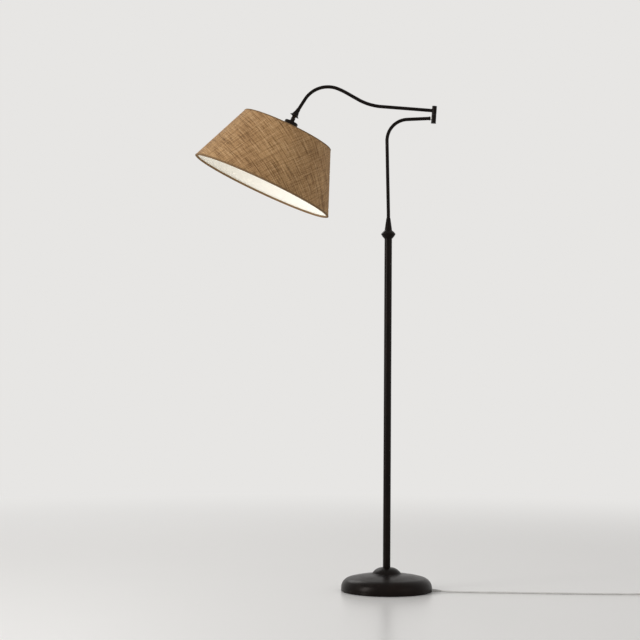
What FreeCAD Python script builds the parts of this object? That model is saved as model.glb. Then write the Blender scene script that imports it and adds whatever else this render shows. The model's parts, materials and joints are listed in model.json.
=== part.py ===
import FreeCAD, Part
import math
import os

# Bridge floor lamp. Millimetres, +Z up. The origin is the centre of the base's underside.
# The arms lie in the XZ plane, and the lower arm bends towards +X.

# Fits
slip_fit = 0.05           # radial clearance of a piece that slides over or into another
thread_fit = 0.05         # radial clearance at a thread, which is modelled as a plain cylinder
seat_gap = 0.02           # clearance between seated faces
face_gap = 0.05           # clearance between faces that turn on each other
soft_gap = 0.30           # clearance round wires and soft pieces

# Base
base_radius = 136.5
base_wall = 1.5
base_rim_lift = 1.5       # the cover's rim stands this far off the floor
shoulder_z = 10.0
shoulder_radius = 32.0
crown_radius = 430.0
crown_outer_slope = 14.0
crown_inner_slope = 5.3
hub_foot_radius = 8.0
hub_radius = 37.8
hub_slope = 55.0
weight_radius = 120.0
weight_plate_height = 15.0
weight_cone_radius = 44.0
weight_cone_bulge = 4.0
weight_boss_radius = 15.0
weight_bore_clearance = 0.3
pad_thickness = 3.0
pad_radius = 124.0
nut_recess_radius = 20.0
nut_recess_depth = 28.0
post_seat_depth = 5.0

# Base fastening: pipe nipple, washer and hex nut
nipple_radius = 5.05
nipple_bore_radius = 3.6
nipple_below_nut = 2.5
base_washer_radius = 16.0
base_washer_thickness = 1.6
base_nut_flats = 19.0
base_nut_height = 5.0

# Post
post_radius = 11.25
post_wall = 1.2
post_length = 998.7
bush_height = 20.0

# Collar ring and cone nut
collar_socket_depth = 7.0
collar_height = 25.4
collar_belt_height = 14.4
collar_belt_radius = 21.6
collar_belt_land = 1.2
collar_bulge = 0.6
collar_crown_bulge = 0.5
collar_end_radius = 12.0
cone_height = 37.6
cone_foot_radius = 11.2
cone_tip_radius = 5.95
cone_bulge = 0.15

# Arms: one pipe size, lengths along the centre line
arm_radius = 5.15
arm_wall = 1.2
arm_thread_depth = 17.0
riser_start_gap = 2.0
riser_lean = 1.4
riser_lean_bend = 800.0
riser_length = 209.1
lower_bend_radius = 63.6
lower_run_slope = 2.8
lower_run_length = 68.7
ferrule_radius = 5.9
ferrule_length = 4.5
ferrule_wall = 0.75
neck_radius = 3.5
neck_bore_radius = 2.4
neck_show = 3.6
neck_insert = 12.0

# Swing barrel, measured along its own axis from its middle
barrel_lean = 3.6
barrel_radius = 7.2
barrel_half_length = 26.3
lower_arm_drop = 10.9
upper_arm_rise = 11.7
barrel_cap_height = 1.9
barrel_cap_dome = 0.8
barrel_foot_radius = 7.9
barrel_plug_length = 2.6
barrel_chamber_radius = 5.6
chamber_headroom = 1.5
spigot_radius = 4.8
spigot_bore_radius = 3.1
spigot_top = 7.0
bearing_length = 4.9
swing_washer_thickness = 0.8
swing_washer_inset = 0.2
snap_ring_thickness = 1.0
snap_ring_mouth = 2.4
snap_groove_depth = 0.5

# Upper arm, from the barrel outwards
upper_run_length = 159.4
upper_start_slope = 4.19
rise_bend_radius = 167.6
rise_bend_angle = 25.1
upper_mid_length = 38.6
crest_bend_radius = 229.9
crest_bend_angle = 7.2
fall_bend_radius = 81.7
fall_bend_angle = 79.8
upper_end_length = 41.0

# Swivel under the bell, measured along the arm's end from the end of the pipe
bell_overlap = 6.0
bell_length = 24.0
bell_top_radius = 6.4
bell_rim_radius = 14.5
bell_wall = 1.1
bell_flare = 5.6
bell_shoulder_depth = 9.0
bell_shoulder_rise = -0.3
pivot_distance = 17.0
knuckle_radius = 7.2
tongue_thickness = 5.0
swivel_washer_thickness = 0.5
swivel_washer_radius = 6.0
swivel_stem_radius = 6.6
swivel_stem_gap = 0.3
swivel_neck_radius = 4.9
swivel_thread_depth = 9.0
swivel_thread_bore = 1.9
swivel_screw_radius = 2.0
swivel_screw_head_radius = 3.6
swivel_screw_head_height = 1.6
swivel_screw_end = 0.8
swivel_slot_width = 0.8
swivel_nut_flats = 7.0
swivel_nut_height = 2.4

# Head, measured along the shade's axis down from the pivot
head_tilt = 24.5
cap_top = 19.0
cap_height = 12.5
cap_radius = 21.1
cap_wall = 1.2
cap_dome_radius = 4.5
stub_radius = 5.05
stub_bore_radius = 2.6
stub_length = 21.0
cap_nut_flats = 16.0
cap_nut_height = 4.0
socket_radius = 17.5
socket_shoulder = 70.0
socket_skirt_radius = 18.9
socket_skirt_length = 27.0
socket_wall = 2.2
socket_flange_radius = 22.0
socket_flange_thickness = 1.6
insert_thickness = 8.0
insert_top = 58.0
insert_wire_hole = 1.8
screw_shell_radius = 13.9
screw_shell_wall = 0.4
screw_shell_length = 27.0
contact_radius = 3.4
contact_height = 2.2
ring_nut_height = 6.0
ring_nut_radius = 22.6

# Rotary switch on the socket
switch_drop = 50.0
switch_shaft_radius = 2.0
switch_shaft_inside = 9.0
switch_shaft_length = 19.5
knob_radius = 6.5
knob_tip_radius = 5.2
knob_length = 13.0
knob_standoff = 1.0
knob_flutes = 10
knob_flute_radius = 0.7

# Shade
shade_top = 46.7
shade_height = 186.8
shade_top_radius = 141.0
shade_bottom_radius = 219.6
cover_thickness = 0.8
liner_thickness = 0.7
wire_radius = 1.5
trim_height = 3.8
trim_thickness = 0.5
fitter_ring_width = 5.0
fitter_ring_thickness = 1.5
fitter_spokes = 3
fitter_wire_radius = 1.6
fitter_weld = 0.5
spoke_start_angle = 90.0

# Bulb
bulb_base_radius = 13.05
bulb_base_length = 25.0
bulb_tip_clearance = 0.2
bulb_tip_radius = 4.0
bulb_tip_height = 4.0
bulb_neck_fillet = 40.0
bulb_neck_radius = 13.5
bulb_globe_radius = 30.0
bulb_glass_length = 82.0
bulb_glass_wall = 0.8

# Leads and cord
lead_radius = 1.6
cord_radius = 2.5
cord_angle = -8.5
relief_z = 5.6
relief_radius = 4.9
relief_tip_radius = 3.1
relief_length = 28.0
relief_drop = 1.6
relief_neck_radius = 4.4
relief_flange_radius = 7.0
relief_flange_thickness = 1.8
relief_floor_gap = 0.4
relief_wall_gap = 2.4
relief_ring_depth = 0.5
relief_ring_count = 4
notch_half_width = 5.2
coil_outer_radius = 37.5
coil_pitch = 5.55
coil_half_turns = 12
coil_centre_x = 812.0
coil_lift = 0.8
coil_check_points = 60
corner_share = 0.45
tie_thickness = 0.45
tie_width = 9.0
tie_slack = 0.3
plug_length = 30.0
plug_width = 22.0
plug_thickness = 15.0
plug_corner = 4.0
plug_neck_length = 9.0
plug_neck_width = 14.0
blade_length = 17.5
blade_width = 6.3
blade_thickness = 1.5
blade_spacing = 12.7

# The cord's own points, chosen along the photographed line, from the strain relief's tip to the coil
cord_points = [
    (174.5, -26.1, 3.3),
    (197.0, -28.7, 2.7),
    (235.0, -31.9, 2.6),
    (288.0, -35.6, 2.6),
    (346.0, -39.2, 2.6),
    (406.0, -43.3, 2.6),
    (466.0, -48.1, 2.6),
    (530.0, -52.7, 2.6),
    (592.0, -56.4, 2.6),
    (652.0, -59.0, 2.6),
    (712.0, -60.6, 2.8),
    (764.0, -61.3, 3.3),
]
coil_entry_y = -61.3
# The tail's points, counted from the end of the coil; the last one is where the plug begins.
tail_steps = [(12.0, 0.0, 0.0), (24.0, -1.7, -1.3), (37.0, -5.0, -1.3)]

# The room for wires in the weight
channel_half_width = 4.0
channel_top = 11.0
lead_bend_radius = 9.0
lead_turn_radius = 4.5
lead_end_gap = 0.1


origin = FreeCAD.Vector(0, 0, 0)
x_axis = FreeCAD.Vector(1, 0, 0)
y_axis = FreeCAD.Vector(0, 1, 0)
z_axis = FreeCAD.Vector(0, 0, 1)


def point(x, z):
    return FreeCAD.Vector(x, 0, z)


def polar(centre, radius, slope):
    """The point of a circle where a profile over it has this slope, falling outwards."""
    angle = math.radians(slope)
    return (centre[0] + radius * math.sin(angle), centre[1] + radius * math.cos(angle))


class Outline:
    """A closed outline in the XZ plane, of lines and arcs."""

    def __init__(self, x, z):
        self.first = (x, z)
        self.last = (x, z)
        self.edges = []

    def line(self, x, z):
        if math.dist(self.last, (x, z)) > 1e-6:
            self.edges.append(Part.makeLine(point(*self.last), point(x, z)))
            self.last = (x, z)
        return self

    def arc(self, mid, end):
        self.edges.append(Part.Arc(point(*self.last), point(*mid), point(*end)).toShape())
        self.last = tuple(end)
        return self

    def bulge(self, x, z, rise):
        """An arc to x, z that stands out from the straight line by rise, to the left of the way there."""
        dx = x - self.last[0]
        dz = z - self.last[1]
        size = math.hypot(dx, dz)
        mid = (self.last[0] + dx / 2 - dz / size * rise, self.last[1] + dz / 2 + dx / size * rise)
        return self.arc(mid, (x, z))

    def face(self):
        self.line(*self.first)
        return Part.Face(Part.Wire(self.edges))

    def turned(self):
        """The solid of revolution about the Z axis."""
        return self.face().revolve(origin, z_axis, 360)


def rectangle(inner, outer, low, high):
    return Outline(inner, low).line(outer, low).line(outer, high).line(inner, high)


def ring(inner, outer, low, high):
    return rectangle(inner, outer, low, high).turned()


def hexagon(flats, low, high, bore):
    corner = flats / math.sqrt(3)
    corners = [
        FreeCAD.Vector(corner * math.cos(math.radians(60 * n)), corner * math.sin(math.radians(60 * n)), low)
        for n in range(7)
    ]
    block = Part.Face(Part.makePolygon(corners)).extrude(FreeCAD.Vector(0, 0, high - low))
    return block.cut(Part.makeCylinder(bore, high - low, FreeCAD.Vector(0, 0, low)))


def cylinder(radius, start, end):
    axis = end.sub(start)
    return Part.makeCylinder(radius, axis.Length, start, axis)


class PipePath:
    """Straight runs and arcs in the XZ plane. The heading is in degrees from +X, turning up."""

    def __init__(self, x, z, heading):
        self.x = x
        self.z = z
        self.heading = heading
        self.edges = []
        self.length = 0.0

    def direction(self, turn=0.0):
        angle = math.radians(self.heading + turn)
        return FreeCAD.Vector(math.cos(angle), 0, math.sin(angle))

    def here(self):
        return point(self.x, self.z)

    def run(self, length):
        start = self.here()
        end = start + self.direction() * length
        self.edges.append(Part.makeLine(start, end))
        self.x = end.x
        self.z = end.z
        self.length += length
        return self

    def bend(self, radius, turn):
        start = self.here()
        side = 90.0 if turn > 0 else -90.0
        centre = start + self.direction(side) * radius
        mid = centre - self.direction(side + turn / 2) * radius
        end = centre - self.direction(side + turn) * radius
        self.edges.append(Part.Arc(start, mid, end).toShape())
        self.x = end.x
        self.z = end.z
        self.heading += turn
        self.length += radius * math.radians(abs(turn))
        return self


def sweep(edges, radius):
    """A round rod along the edges."""
    start = edges[0].valueAt(edges[0].FirstParameter)
    tangent = edges[0].tangentAt(edges[0].FirstParameter)
    profile = Part.Wire(Part.makeCircle(radius, start, tangent))
    return Part.Wire(edges).makePipeShell([profile], True, False)


def tube(edges, radius, bore):
    return sweep(edges, radius).cut(sweep(edges, bore))


class Frame:
    """A place with its own Z axis in the XZ plane, leaning from +Z towards +X."""

    def __init__(self, origin, lean):
        self.origin = origin
        self.lean = lean
        angle = math.radians(lean)
        self.up = FreeCAD.Vector(math.sin(angle), 0, math.cos(angle))
        self.across = FreeCAD.Vector(math.cos(angle), 0, -math.sin(angle))

    def at(self, across, along):
        return self.origin + self.across * across + self.up * along

    def put(self, shape):
        """Moves a shape made about the origin to this place."""
        turn = FreeCAD.Rotation(y_axis, self.lean)
        shape = shape.copy()
        shape.Placement = FreeCAD.Placement(self.origin, turn).multiply(shape.Placement)
        return shape


def dome_profile(inset):
    """The base's shoulder, crown and hub, as arcs that run into one another, set inwards by inset."""
    shoulder = (base_radius - shoulder_radius, shoulder_z)
    edge = polar(shoulder, shoulder_radius, crown_outer_slope)
    crown = (
        edge[0] - crown_radius * math.sin(math.radians(crown_outer_slope)),
        edge[1] - crown_radius * math.cos(math.radians(crown_outer_slope)),
    )
    foot_edge = polar(crown, crown_radius, crown_inner_slope)
    foot = (
        foot_edge[0] + hub_foot_radius * math.sin(math.radians(crown_inner_slope)),
        foot_edge[1] + hub_foot_radius * math.cos(math.radians(crown_inner_slope)),
    )
    hub_edge = polar(foot, -hub_foot_radius, hub_slope)
    hub = (
        hub_edge[0] - hub_radius * math.sin(math.radians(hub_slope)),
        hub_edge[1] - hub_radius * math.cos(math.radians(hub_slope)),
    )
    return {
        "shoulder": (shoulder, shoulder_radius - inset),
        "crown": (crown, crown_radius - inset),
        "foot": (foot, hub_foot_radius + inset),
        "hub": (hub, hub_radius - inset),
    }


def hub_height(radius, inset):
    """The height of the hub's surface, set inwards by inset, at this radius."""
    centre, size = dome_profile(inset)["hub"]
    return centre[1] + math.sqrt(size**2 - (radius - centre[0]) ** 2)


def dome_points(inset, hole):
    """Middle and end of each arc of the dome, from the rim up to the hole in the hub."""
    arcs = dome_profile(inset)
    hub_centre, hub_size = arcs["hub"]
    hole_slope = math.degrees(math.asin((hole - hub_centre[0]) / hub_size))
    spans = [
        ("shoulder", 90.0, crown_outer_slope, 1),
        ("crown", crown_outer_slope, crown_inner_slope, 1),
        ("foot", crown_inner_slope, hub_slope, -1),
        ("hub", hub_slope, hole_slope, 1),
    ]
    points = []
    for name, start, end, side in spans:
        centre, size = arcs[name]
        points.append((polar(centre, side * size, (start + end) / 2), polar(centre, side * size, end)))
    return points


post_hole_radius = post_radius + slip_fit
weight_bottom = pad_thickness
boss_top = hub_height(weight_boss_radius, base_wall) - seat_gap
post_bottom = boss_top - post_seat_depth
post_top = post_bottom + post_length
post_bore = post_radius - post_wall
recess_top = weight_bottom + nut_recess_depth
nipple_bottom = recess_top - base_washer_thickness - base_nut_height - nipple_below_nut
nipple_top = post_bottom + bush_height

collar_bottom = post_top - collar_socket_depth
collar_top = collar_bottom + collar_height
cone_top = collar_top + cone_height
arm_bottom = post_top - arm_thread_depth
arm_bore = arm_radius - arm_wall


def lay_lower(path):
    """Adds the lower arm's centre line to a path that comes up the post."""
    path.run(cone_top + riser_start_gap - path.z)
    path.bend(riser_lean_bend, riser_lean)
    path.run(riser_length)
    path.bend(lower_bend_radius, lower_run_slope - path.heading)
    path.run(lower_run_length)
    return path


def lay_upper(path, passed):
    """Adds the upper arm's centre line to a path that has already passed some of its first run."""
    path.run(upper_run_length - passed)
    path.bend(rise_bend_radius, -rise_bend_angle)
    path.run(upper_mid_length)
    path.bend(crest_bend_radius, crest_bend_angle)
    path.bend(fall_bend_radius, fall_bend_angle)
    path.run(upper_end_length)
    return path


lower_path = lay_lower(PipePath(0, arm_bottom, 90))
lower_end = lower_path.here()
lower_heading = lower_path.direction()

barrel_cross = lower_end + lower_heading * (neck_show + barrel_radius)
barrel = Frame(Frame(barrel_cross, barrel_lean).at(0, lower_arm_drop), barrel_lean)
upper_cross = barrel.at(0, upper_arm_rise)

upper_path = PipePath(upper_cross.x, upper_cross.z, 180 - upper_start_slope)
upper_path_start = upper_path.heading
upper_heading = upper_path.direction()
lay_upper(upper_path, 0)
upper_end = upper_path.here()

# The bell's own +Z points back up the arm, and its origin is the end of the pipe.
bell_frame = Frame(upper_end, 270 - upper_path.heading)
pivot = bell_frame.at(0, -pivot_distance)
head = Frame(pivot, head_tilt)


def base_cover():
    outer = dome_points(0, post_hole_radius)
    inner = dome_points(base_wall, post_hole_radius)
    outline = Outline(base_radius, base_rim_lift)
    outline.line(base_radius, shoulder_z)
    for mid, end in outer:
        outline.arc(mid, end)
    outline.line(*inner[-1][1])
    ends = [end for mid, end in inner]
    starts = [(base_radius - base_wall, shoulder_z)] + ends[:-1]
    for (mid, end), start in zip(reversed(inner), reversed(starts)):
        outline.arc(mid, start)
    outline.line(base_radius - base_wall, base_rim_lift)
    cover = outline.turned()
    notch_top = relief_z
    low = -base_rim_lift
    reach = base_radius
    slot = Part.makeBox(reach, 2 * notch_half_width, notch_top - low,
                        FreeCAD.Vector(weight_radius, -notch_half_width, low))
    arch = cylinder(notch_half_width, FreeCAD.Vector(weight_radius, 0, notch_top),
                    FreeCAD.Vector(weight_radius + reach, 0, notch_top))
    return cover.cut(at_cord_angle(slot.fuse(arch)))


def at_cord_angle(shape):
    """Turns a shape made along +X to the side where the cord leaves the base."""
    shape = shape.copy()
    shape.rotate(origin, z_axis, cord_angle)
    return shape


def base_weight():
    plate_top = weight_bottom + weight_plate_height
    bore = nipple_radius + weight_bore_clearance
    outline = Outline(bore, weight_bottom)
    outline.line(weight_radius, weight_bottom)
    outline.line(weight_radius, plate_top)
    outline.line(weight_cone_radius, plate_top)
    outline.bulge(weight_boss_radius, boss_top, weight_cone_bulge)
    outline.line(bore, boss_top)
    weight = outline.turned()
    seat = Part.makeCylinder(post_radius + slip_fit, post_seat_depth, point(0, post_bottom))
    recess = Part.makeCylinder(nut_recess_radius, nut_recess_depth, point(0, weight_bottom))
    channel = Part.makeBox(weight_radius + 1, 2 * channel_half_width, channel_top - weight_bottom,
                           FreeCAD.Vector(0, -channel_half_width, weight_bottom))
    return weight.cut(seat).cut(recess).cut(at_cord_angle(channel))


def base_pad():
    return Part.makeCylinder(pad_radius, pad_thickness - seat_gap)


def base_nipple():
    return ring(nipple_bore_radius, nipple_radius, nipple_bottom, nipple_top)


def base_washer():
    top = recess_top - seat_gap
    return ring(nipple_radius + slip_fit, base_washer_radius, top - base_washer_thickness, top)


def base_nut():
    top = recess_top - base_washer_thickness - 2 * seat_gap
    return hexagon(base_nut_flats, top - base_nut_height, top, nipple_radius + thread_fit)


def post_tube():
    return ring(post_bore, post_radius, post_bottom + seat_gap, post_top)


def lower_bush():
    return ring(nipple_radius + thread_fit, post_bore - slip_fit,
                post_bottom + seat_gap, post_bottom + bush_height)


def upper_bush():
    return ring(arm_radius + thread_fit, post_bore - slip_fit, post_top - bush_height, post_top)


def collar_ring():
    belt_low = collar_bottom + collar_belt_height - collar_belt_land / 2
    belt_high = belt_low + collar_belt_land
    bore = arm_radius + slip_fit
    outline = Outline(post_radius + slip_fit, collar_bottom)
    outline.line(collar_end_radius, collar_bottom)
    outline.bulge(collar_belt_radius, belt_low, collar_bulge)
    outline.line(collar_belt_radius, belt_high)
    outline.bulge(collar_end_radius, collar_top, -collar_crown_bulge)
    outline.line(bore, collar_top)
    outline.line(bore, post_top + seat_gap)
    outline.line(post_radius + slip_fit, post_top + seat_gap)
    return outline.turned()


def cone_nut():
    bottom = collar_top + seat_gap
    outline = Outline(arm_radius + thread_fit, bottom)
    outline.line(cone_foot_radius, bottom)
    outline.bulge(cone_tip_radius, cone_top, -cone_bulge)
    outline.line(arm_radius + thread_fit, cone_top)
    return outline.turned()


def lower_arm():
    return tube(lower_path.edges, arm_radius, arm_bore)


def arm_ferrule():
    """A sleeve over the end of the lower arm, closed by a lip that holds the neck."""
    lip = lower_end + lower_heading * ferrule_wall
    start = lower_end - lower_heading * (ferrule_length - ferrule_wall)
    sleeve = cylinder(ferrule_radius, start, lip)
    sleeve = sleeve.cut(cylinder(arm_radius + slip_fit, start, lower_end))
    return sleeve.cut(cylinder(neck_radius + slip_fit, start, lip))


def arm_neck():
    """The bright nipple between the lower arm and the barrel."""
    start = lower_end - lower_heading * neck_insert
    end = lower_end + lower_heading * (neck_show + barrel_radius - barrel_chamber_radius)
    return cylinder(neck_radius, start, end).cut(cylinder(neck_bore_radius, start, end))


def lower_knuckle():
    bottom = -barrel_half_length + barrel_cap_height + seat_gap
    top = -swing_washer_thickness / 2
    chamber_top = -lower_arm_drop + neck_radius + chamber_headroom
    groove_low = swing_washer_thickness / 2 + bearing_length + face_gap
    groove_high = groove_low + snap_ring_thickness + seat_gap
    outline = Outline(barrel_chamber_radius, bottom)
    outline.line(barrel_radius, bottom)
    outline.line(barrel_radius, top)
    outline.line(spigot_radius, top)
    outline.line(spigot_radius, groove_low)
    outline.line(spigot_radius - snap_groove_depth, groove_low)
    outline.line(spigot_radius - snap_groove_depth, groove_high)
    outline.line(spigot_radius, groove_high)
    outline.line(spigot_radius, spigot_top)
    outline.line(spigot_bore_radius, spigot_top)
    outline.line(spigot_bore_radius, chamber_top)
    outline.line(barrel_chamber_radius, chamber_top)
    knuckle = barrel.put(outline.turned())
    hole = cylinder(neck_radius + slip_fit, lower_end, barrel_cross)
    return knuckle.cut(hole)


def barrel_foot():
    plug_top = -barrel_half_length + barrel_cap_height + barrel_plug_length
    outline = Outline(0, -barrel_half_length)
    outline.line(barrel_foot_radius, -barrel_half_length)
    outline.line(barrel_foot_radius, -barrel_half_length + barrel_cap_height)
    outline.line(barrel_chamber_radius - slip_fit, -barrel_half_length + barrel_cap_height)
    outline.line(barrel_chamber_radius - slip_fit, plug_top)
    outline.line(0, plug_top)
    return barrel.put(outline.turned())


def swing_washer():
    half = swing_washer_thickness / 2
    outer = barrel_radius - swing_washer_inset
    return barrel.put(ring(spigot_radius + face_gap, outer, -half + seat_gap, half - seat_gap))


def snap_ring():
    low = swing_washer_thickness / 2 + bearing_length + face_gap + seat_gap / 2
    inner = spigot_radius - snap_groove_depth + seat_gap
    whole = ring(inner, barrel_chamber_radius - soft_gap, low, low + snap_ring_thickness)
    gap = Part.makeBox(barrel_chamber_radius, snap_ring_mouth, 2 * snap_ring_thickness,
                       FreeCAD.Vector(0, -snap_ring_mouth / 2, low - snap_ring_thickness / 2))
    return barrel.put(whole.cut(gap))


def upper_knuckle():
    bottom = swing_washer_thickness / 2 + face_gap
    shoulder = swing_washer_thickness / 2 + bearing_length
    top = barrel_half_length - barrel_cap_height - seat_gap
    outline = Outline(spigot_radius + slip_fit, bottom)
    outline.line(barrel_radius, bottom)
    outline.line(barrel_radius, top)
    outline.line(barrel_chamber_radius, top)
    outline.line(barrel_chamber_radius, shoulder)
    outline.line(spigot_radius + slip_fit, shoulder)
    knuckle = barrel.put(outline.turned())
    hole = cylinder(arm_bore, upper_cross, upper_cross + upper_heading * (2 * barrel_radius))
    return knuckle.cut(hole)


def barrel_top_cap():
    flange = barrel_half_length - barrel_cap_height
    dome_size = (barrel_radius**2 + barrel_cap_dome**2) / (2 * barrel_cap_dome)
    dome_centre = (0, barrel_half_length - dome_size)
    dome_slope = math.degrees(math.asin(barrel_radius / dome_size))
    outline = Outline(0, flange - barrel_plug_length)
    outline.line(barrel_chamber_radius - slip_fit, flange - barrel_plug_length)
    outline.line(barrel_chamber_radius - slip_fit, flange)
    outline.line(barrel_radius, flange)
    outline.line(barrel_radius, barrel_half_length - barrel_cap_dome)
    outline.arc(polar(dome_centre, dome_size, dome_slope / 2), (0, barrel_half_length))
    return barrel.put(outline.turned())


def upper_arm():
    """The bent pipe, coped to the round of the barrel."""
    arm = tube(upper_path.edges, arm_radius, arm_bore)
    cope = cylinder(barrel_radius + slip_fit, barrel.at(0, -barrel_radius), barrel.at(0, barrel_half_length))
    return arm.cut(cope)


# The swivel at the end of the upper arm

def swivel_bell():
    """The cover over the swivel, a bell with a thin wall round the end of the pipe."""
    shoulder_radius = bell_rim_radius - bell_flare
    outline = Outline(arm_radius + thread_fit, bell_overlap)
    outline.line(bell_top_radius, bell_overlap)
    outline.line(bell_top_radius, 0)
    outline.bulge(shoulder_radius, -bell_shoulder_depth, bell_shoulder_rise)
    outline.bulge(bell_rim_radius, bell_overlap - bell_length, -bell_flare / 4)
    outline.line(bell_rim_radius - bell_wall, bell_overlap - bell_length)
    outline.bulge(shoulder_radius - bell_wall, -bell_shoulder_depth - bell_wall / 2, bell_flare / 4)
    outline.bulge(arm_radius + thread_fit, -bell_wall, -bell_shoulder_rise)
    return bell_frame.put(outline.turned())


def swivel_half(side, stem_radius, stem_end, bore):
    """One half of the swivel about the origin: a round tongue on one side, and a stem along +Z."""
    inner = swivel_washer_thickness / 2
    stem_start = knuckle_radius + swivel_stem_gap
    low = inner if side > 0 else -inner - tongue_thickness
    disc = Part.makeCylinder(knuckle_radius, tongue_thickness, FreeCAD.Vector(0, low, 0), y_axis)
    web = Part.makeBox(2 * tongue_thickness, tongue_thickness, stem_start,
                       FreeCAD.Vector(-tongue_thickness, low, 0))
    stem = Part.makeCylinder(stem_radius, stem_end - stem_start, point(0, stem_start))
    half = disc.fuse(web).fuse(stem).removeSplitter()
    half = half.cut(Part.makeCylinder(bore, stem_end - stem_start, point(0, stem_start)))
    screw_hole = swivel_screw_radius + face_gap
    return half.cut(cylinder(screw_hole, FreeCAD.Vector(0, -2 * tongue_thickness, 0),
                             FreeCAD.Vector(0, 2 * tongue_thickness, 0)))


def swivel_upper():
    """The half that is screwed into the end of the upper arm."""
    frame = Frame(pivot, bell_frame.lean)
    half = swivel_half(1, swivel_neck_radius, pivot_distance - seat_gap, swivel_thread_bore)
    thread = ring(swivel_thread_bore, arm_bore - thread_fit,
                  pivot_distance - seat_gap, pivot_distance + swivel_thread_depth)
    return frame.put(half.fuse(thread).removeSplitter())


def swivel_lower():
    """The half that carries the socket, with a threaded stub through the socket cap."""
    frame = Frame(pivot, head_tilt + 180)
    half = swivel_half(-1, swivel_stem_radius, cap_top - seat_gap, stub_bore_radius)
    stub = ring(stub_bore_radius, stub_radius, cap_top - seat_gap, cap_top + stub_length)
    return frame.put(half.fuse(stub).removeSplitter())


def swivel_washer():
    thickness = swivel_washer_thickness - 2 * face_gap
    washer = ring(swivel_screw_radius + face_gap, swivel_washer_radius, -thickness / 2, thickness / 2)
    washer.rotate(origin, x_axis, 90)
    washer.translate(pivot)
    return washer


def swivel_screw():
    """Slotted screw through both halves, head towards the front, nut at the back."""
    outside = swivel_washer_thickness / 2 + tongue_thickness + face_gap
    front = pivot - FreeCAD.Vector(0, outside, 0)
    back = pivot + FreeCAD.Vector(0, outside + swivel_nut_height + swivel_screw_end, 0)
    head_face = front - FreeCAD.Vector(0, swivel_screw_head_height, 0)
    screw = cylinder(swivel_screw_radius, front, back)
    screw = screw.fuse(cylinder(swivel_screw_head_radius, head_face, front))
    slot = Part.makeBox(2 * swivel_screw_head_radius, swivel_screw_head_height, swivel_slot_width,
                        head_face + FreeCAD.Vector(-swivel_screw_head_radius, -swivel_screw_head_height / 2,
                                                   -swivel_slot_width / 2))
    return screw.removeSplitter().cut(slot)


def swivel_nut():
    start = swivel_washer_thickness / 2 + tongue_thickness + face_gap
    nut = hexagon(swivel_nut_flats, start, start + swivel_nut_height, swivel_screw_radius + thread_fit)
    nut.rotate(origin, x_axis, -90)
    nut.translate(pivot)
    return nut


# The socket and the bulb, in the head's own frame, where the pivot is at height 0

def socket_cap():
    """The domed disc above the socket, a cup with its open side down."""
    top = -cap_top
    bottom = top - cap_height
    hole = stub_radius + slip_fit
    outline = Outline(hole, top)
    outline.line(cap_radius - cap_dome_radius, top)
    outline.arc(polar((cap_radius - cap_dome_radius, top - cap_dome_radius), cap_dome_radius, 45),
                (cap_radius, top - cap_dome_radius))
    outline.line(cap_radius, bottom)
    outline.line(cap_radius - cap_wall, bottom)
    outline.line(cap_radius - cap_wall, top - cap_dome_radius)
    inner = cap_dome_radius - cap_wall
    outline.arc(polar((cap_radius - cap_dome_radius, top - cap_dome_radius), inner, 45),
                (cap_radius - cap_dome_radius, top - cap_wall))
    outline.line(hole, top - cap_wall)
    return head.put(outline.turned())


def cap_nut():
    top = -cap_top - cap_wall - seat_gap
    return head.put(hexagon(cap_nut_flats, top - cap_nut_height, top, stub_radius + thread_fit))


socket_top = -cap_top - cap_wall - cap_nut_height - 2 * seat_gap
cavity_radius = socket_radius - socket_wall


def socket_body():
    """The moulded body, with a threaded skirt for the shade's ring nut."""
    bottom = -socket_shoulder - socket_skirt_length
    flange_top = -socket_shoulder + socket_flange_thickness
    hole = stub_radius + thread_fit
    stub_end = -cap_top - stub_length - seat_gap
    outline = Outline(hole, socket_top)
    outline.line(socket_radius, socket_top)
    outline.line(socket_radius, flange_top)
    outline.line(socket_flange_radius, flange_top)
    outline.line(socket_flange_radius, -socket_shoulder)
    outline.line(socket_skirt_radius, -socket_shoulder)
    outline.line(socket_skirt_radius, bottom)
    outline.line(cavity_radius, bottom)
    outline.line(cavity_radius, -insert_top)
    outline.line(stub_bore_radius, -insert_top)
    outline.line(stub_bore_radius, stub_end)
    outline.line(hole, stub_end)
    body = outline.turned()
    shaft_start = FreeCAD.Vector(0, switch_shaft_inside - socket_radius, -switch_drop)
    shaft_hole = cylinder(switch_shaft_radius + face_gap, shaft_start,
                          shaft_start - FreeCAD.Vector(0, switch_shaft_length, 0))
    return head.put(body.cut(shaft_hole))


def socket_insert():
    top = -insert_top - seat_gap
    return head.put(ring(insert_wire_hole, cavity_radius - slip_fit, top - insert_thickness, top))


insert_bottom = -insert_top - insert_thickness - 2 * seat_gap


def screw_shell():
    inner = screw_shell_radius - screw_shell_wall
    return head.put(ring(inner, screw_shell_radius, insert_bottom - screw_shell_length, insert_bottom))


def centre_contact():
    """A brass tongue under the insert, riveted through it."""
    flat = Part.makeCylinder(contact_radius, contact_height, point(0, insert_bottom - contact_height))
    rivet = Part.makeCylinder(insert_wire_hole - slip_fit, insert_thickness, point(0, insert_bottom))
    return head.put(flat.fuse(rivet).removeSplitter())


def switch_shaft():
    start = FreeCAD.Vector(0, switch_shaft_inside - socket_radius - face_gap, -switch_drop)
    end = start - FreeCAD.Vector(0, switch_shaft_length - face_gap, 0)
    return head.put(cylinder(switch_shaft_radius, start, end))


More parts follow.
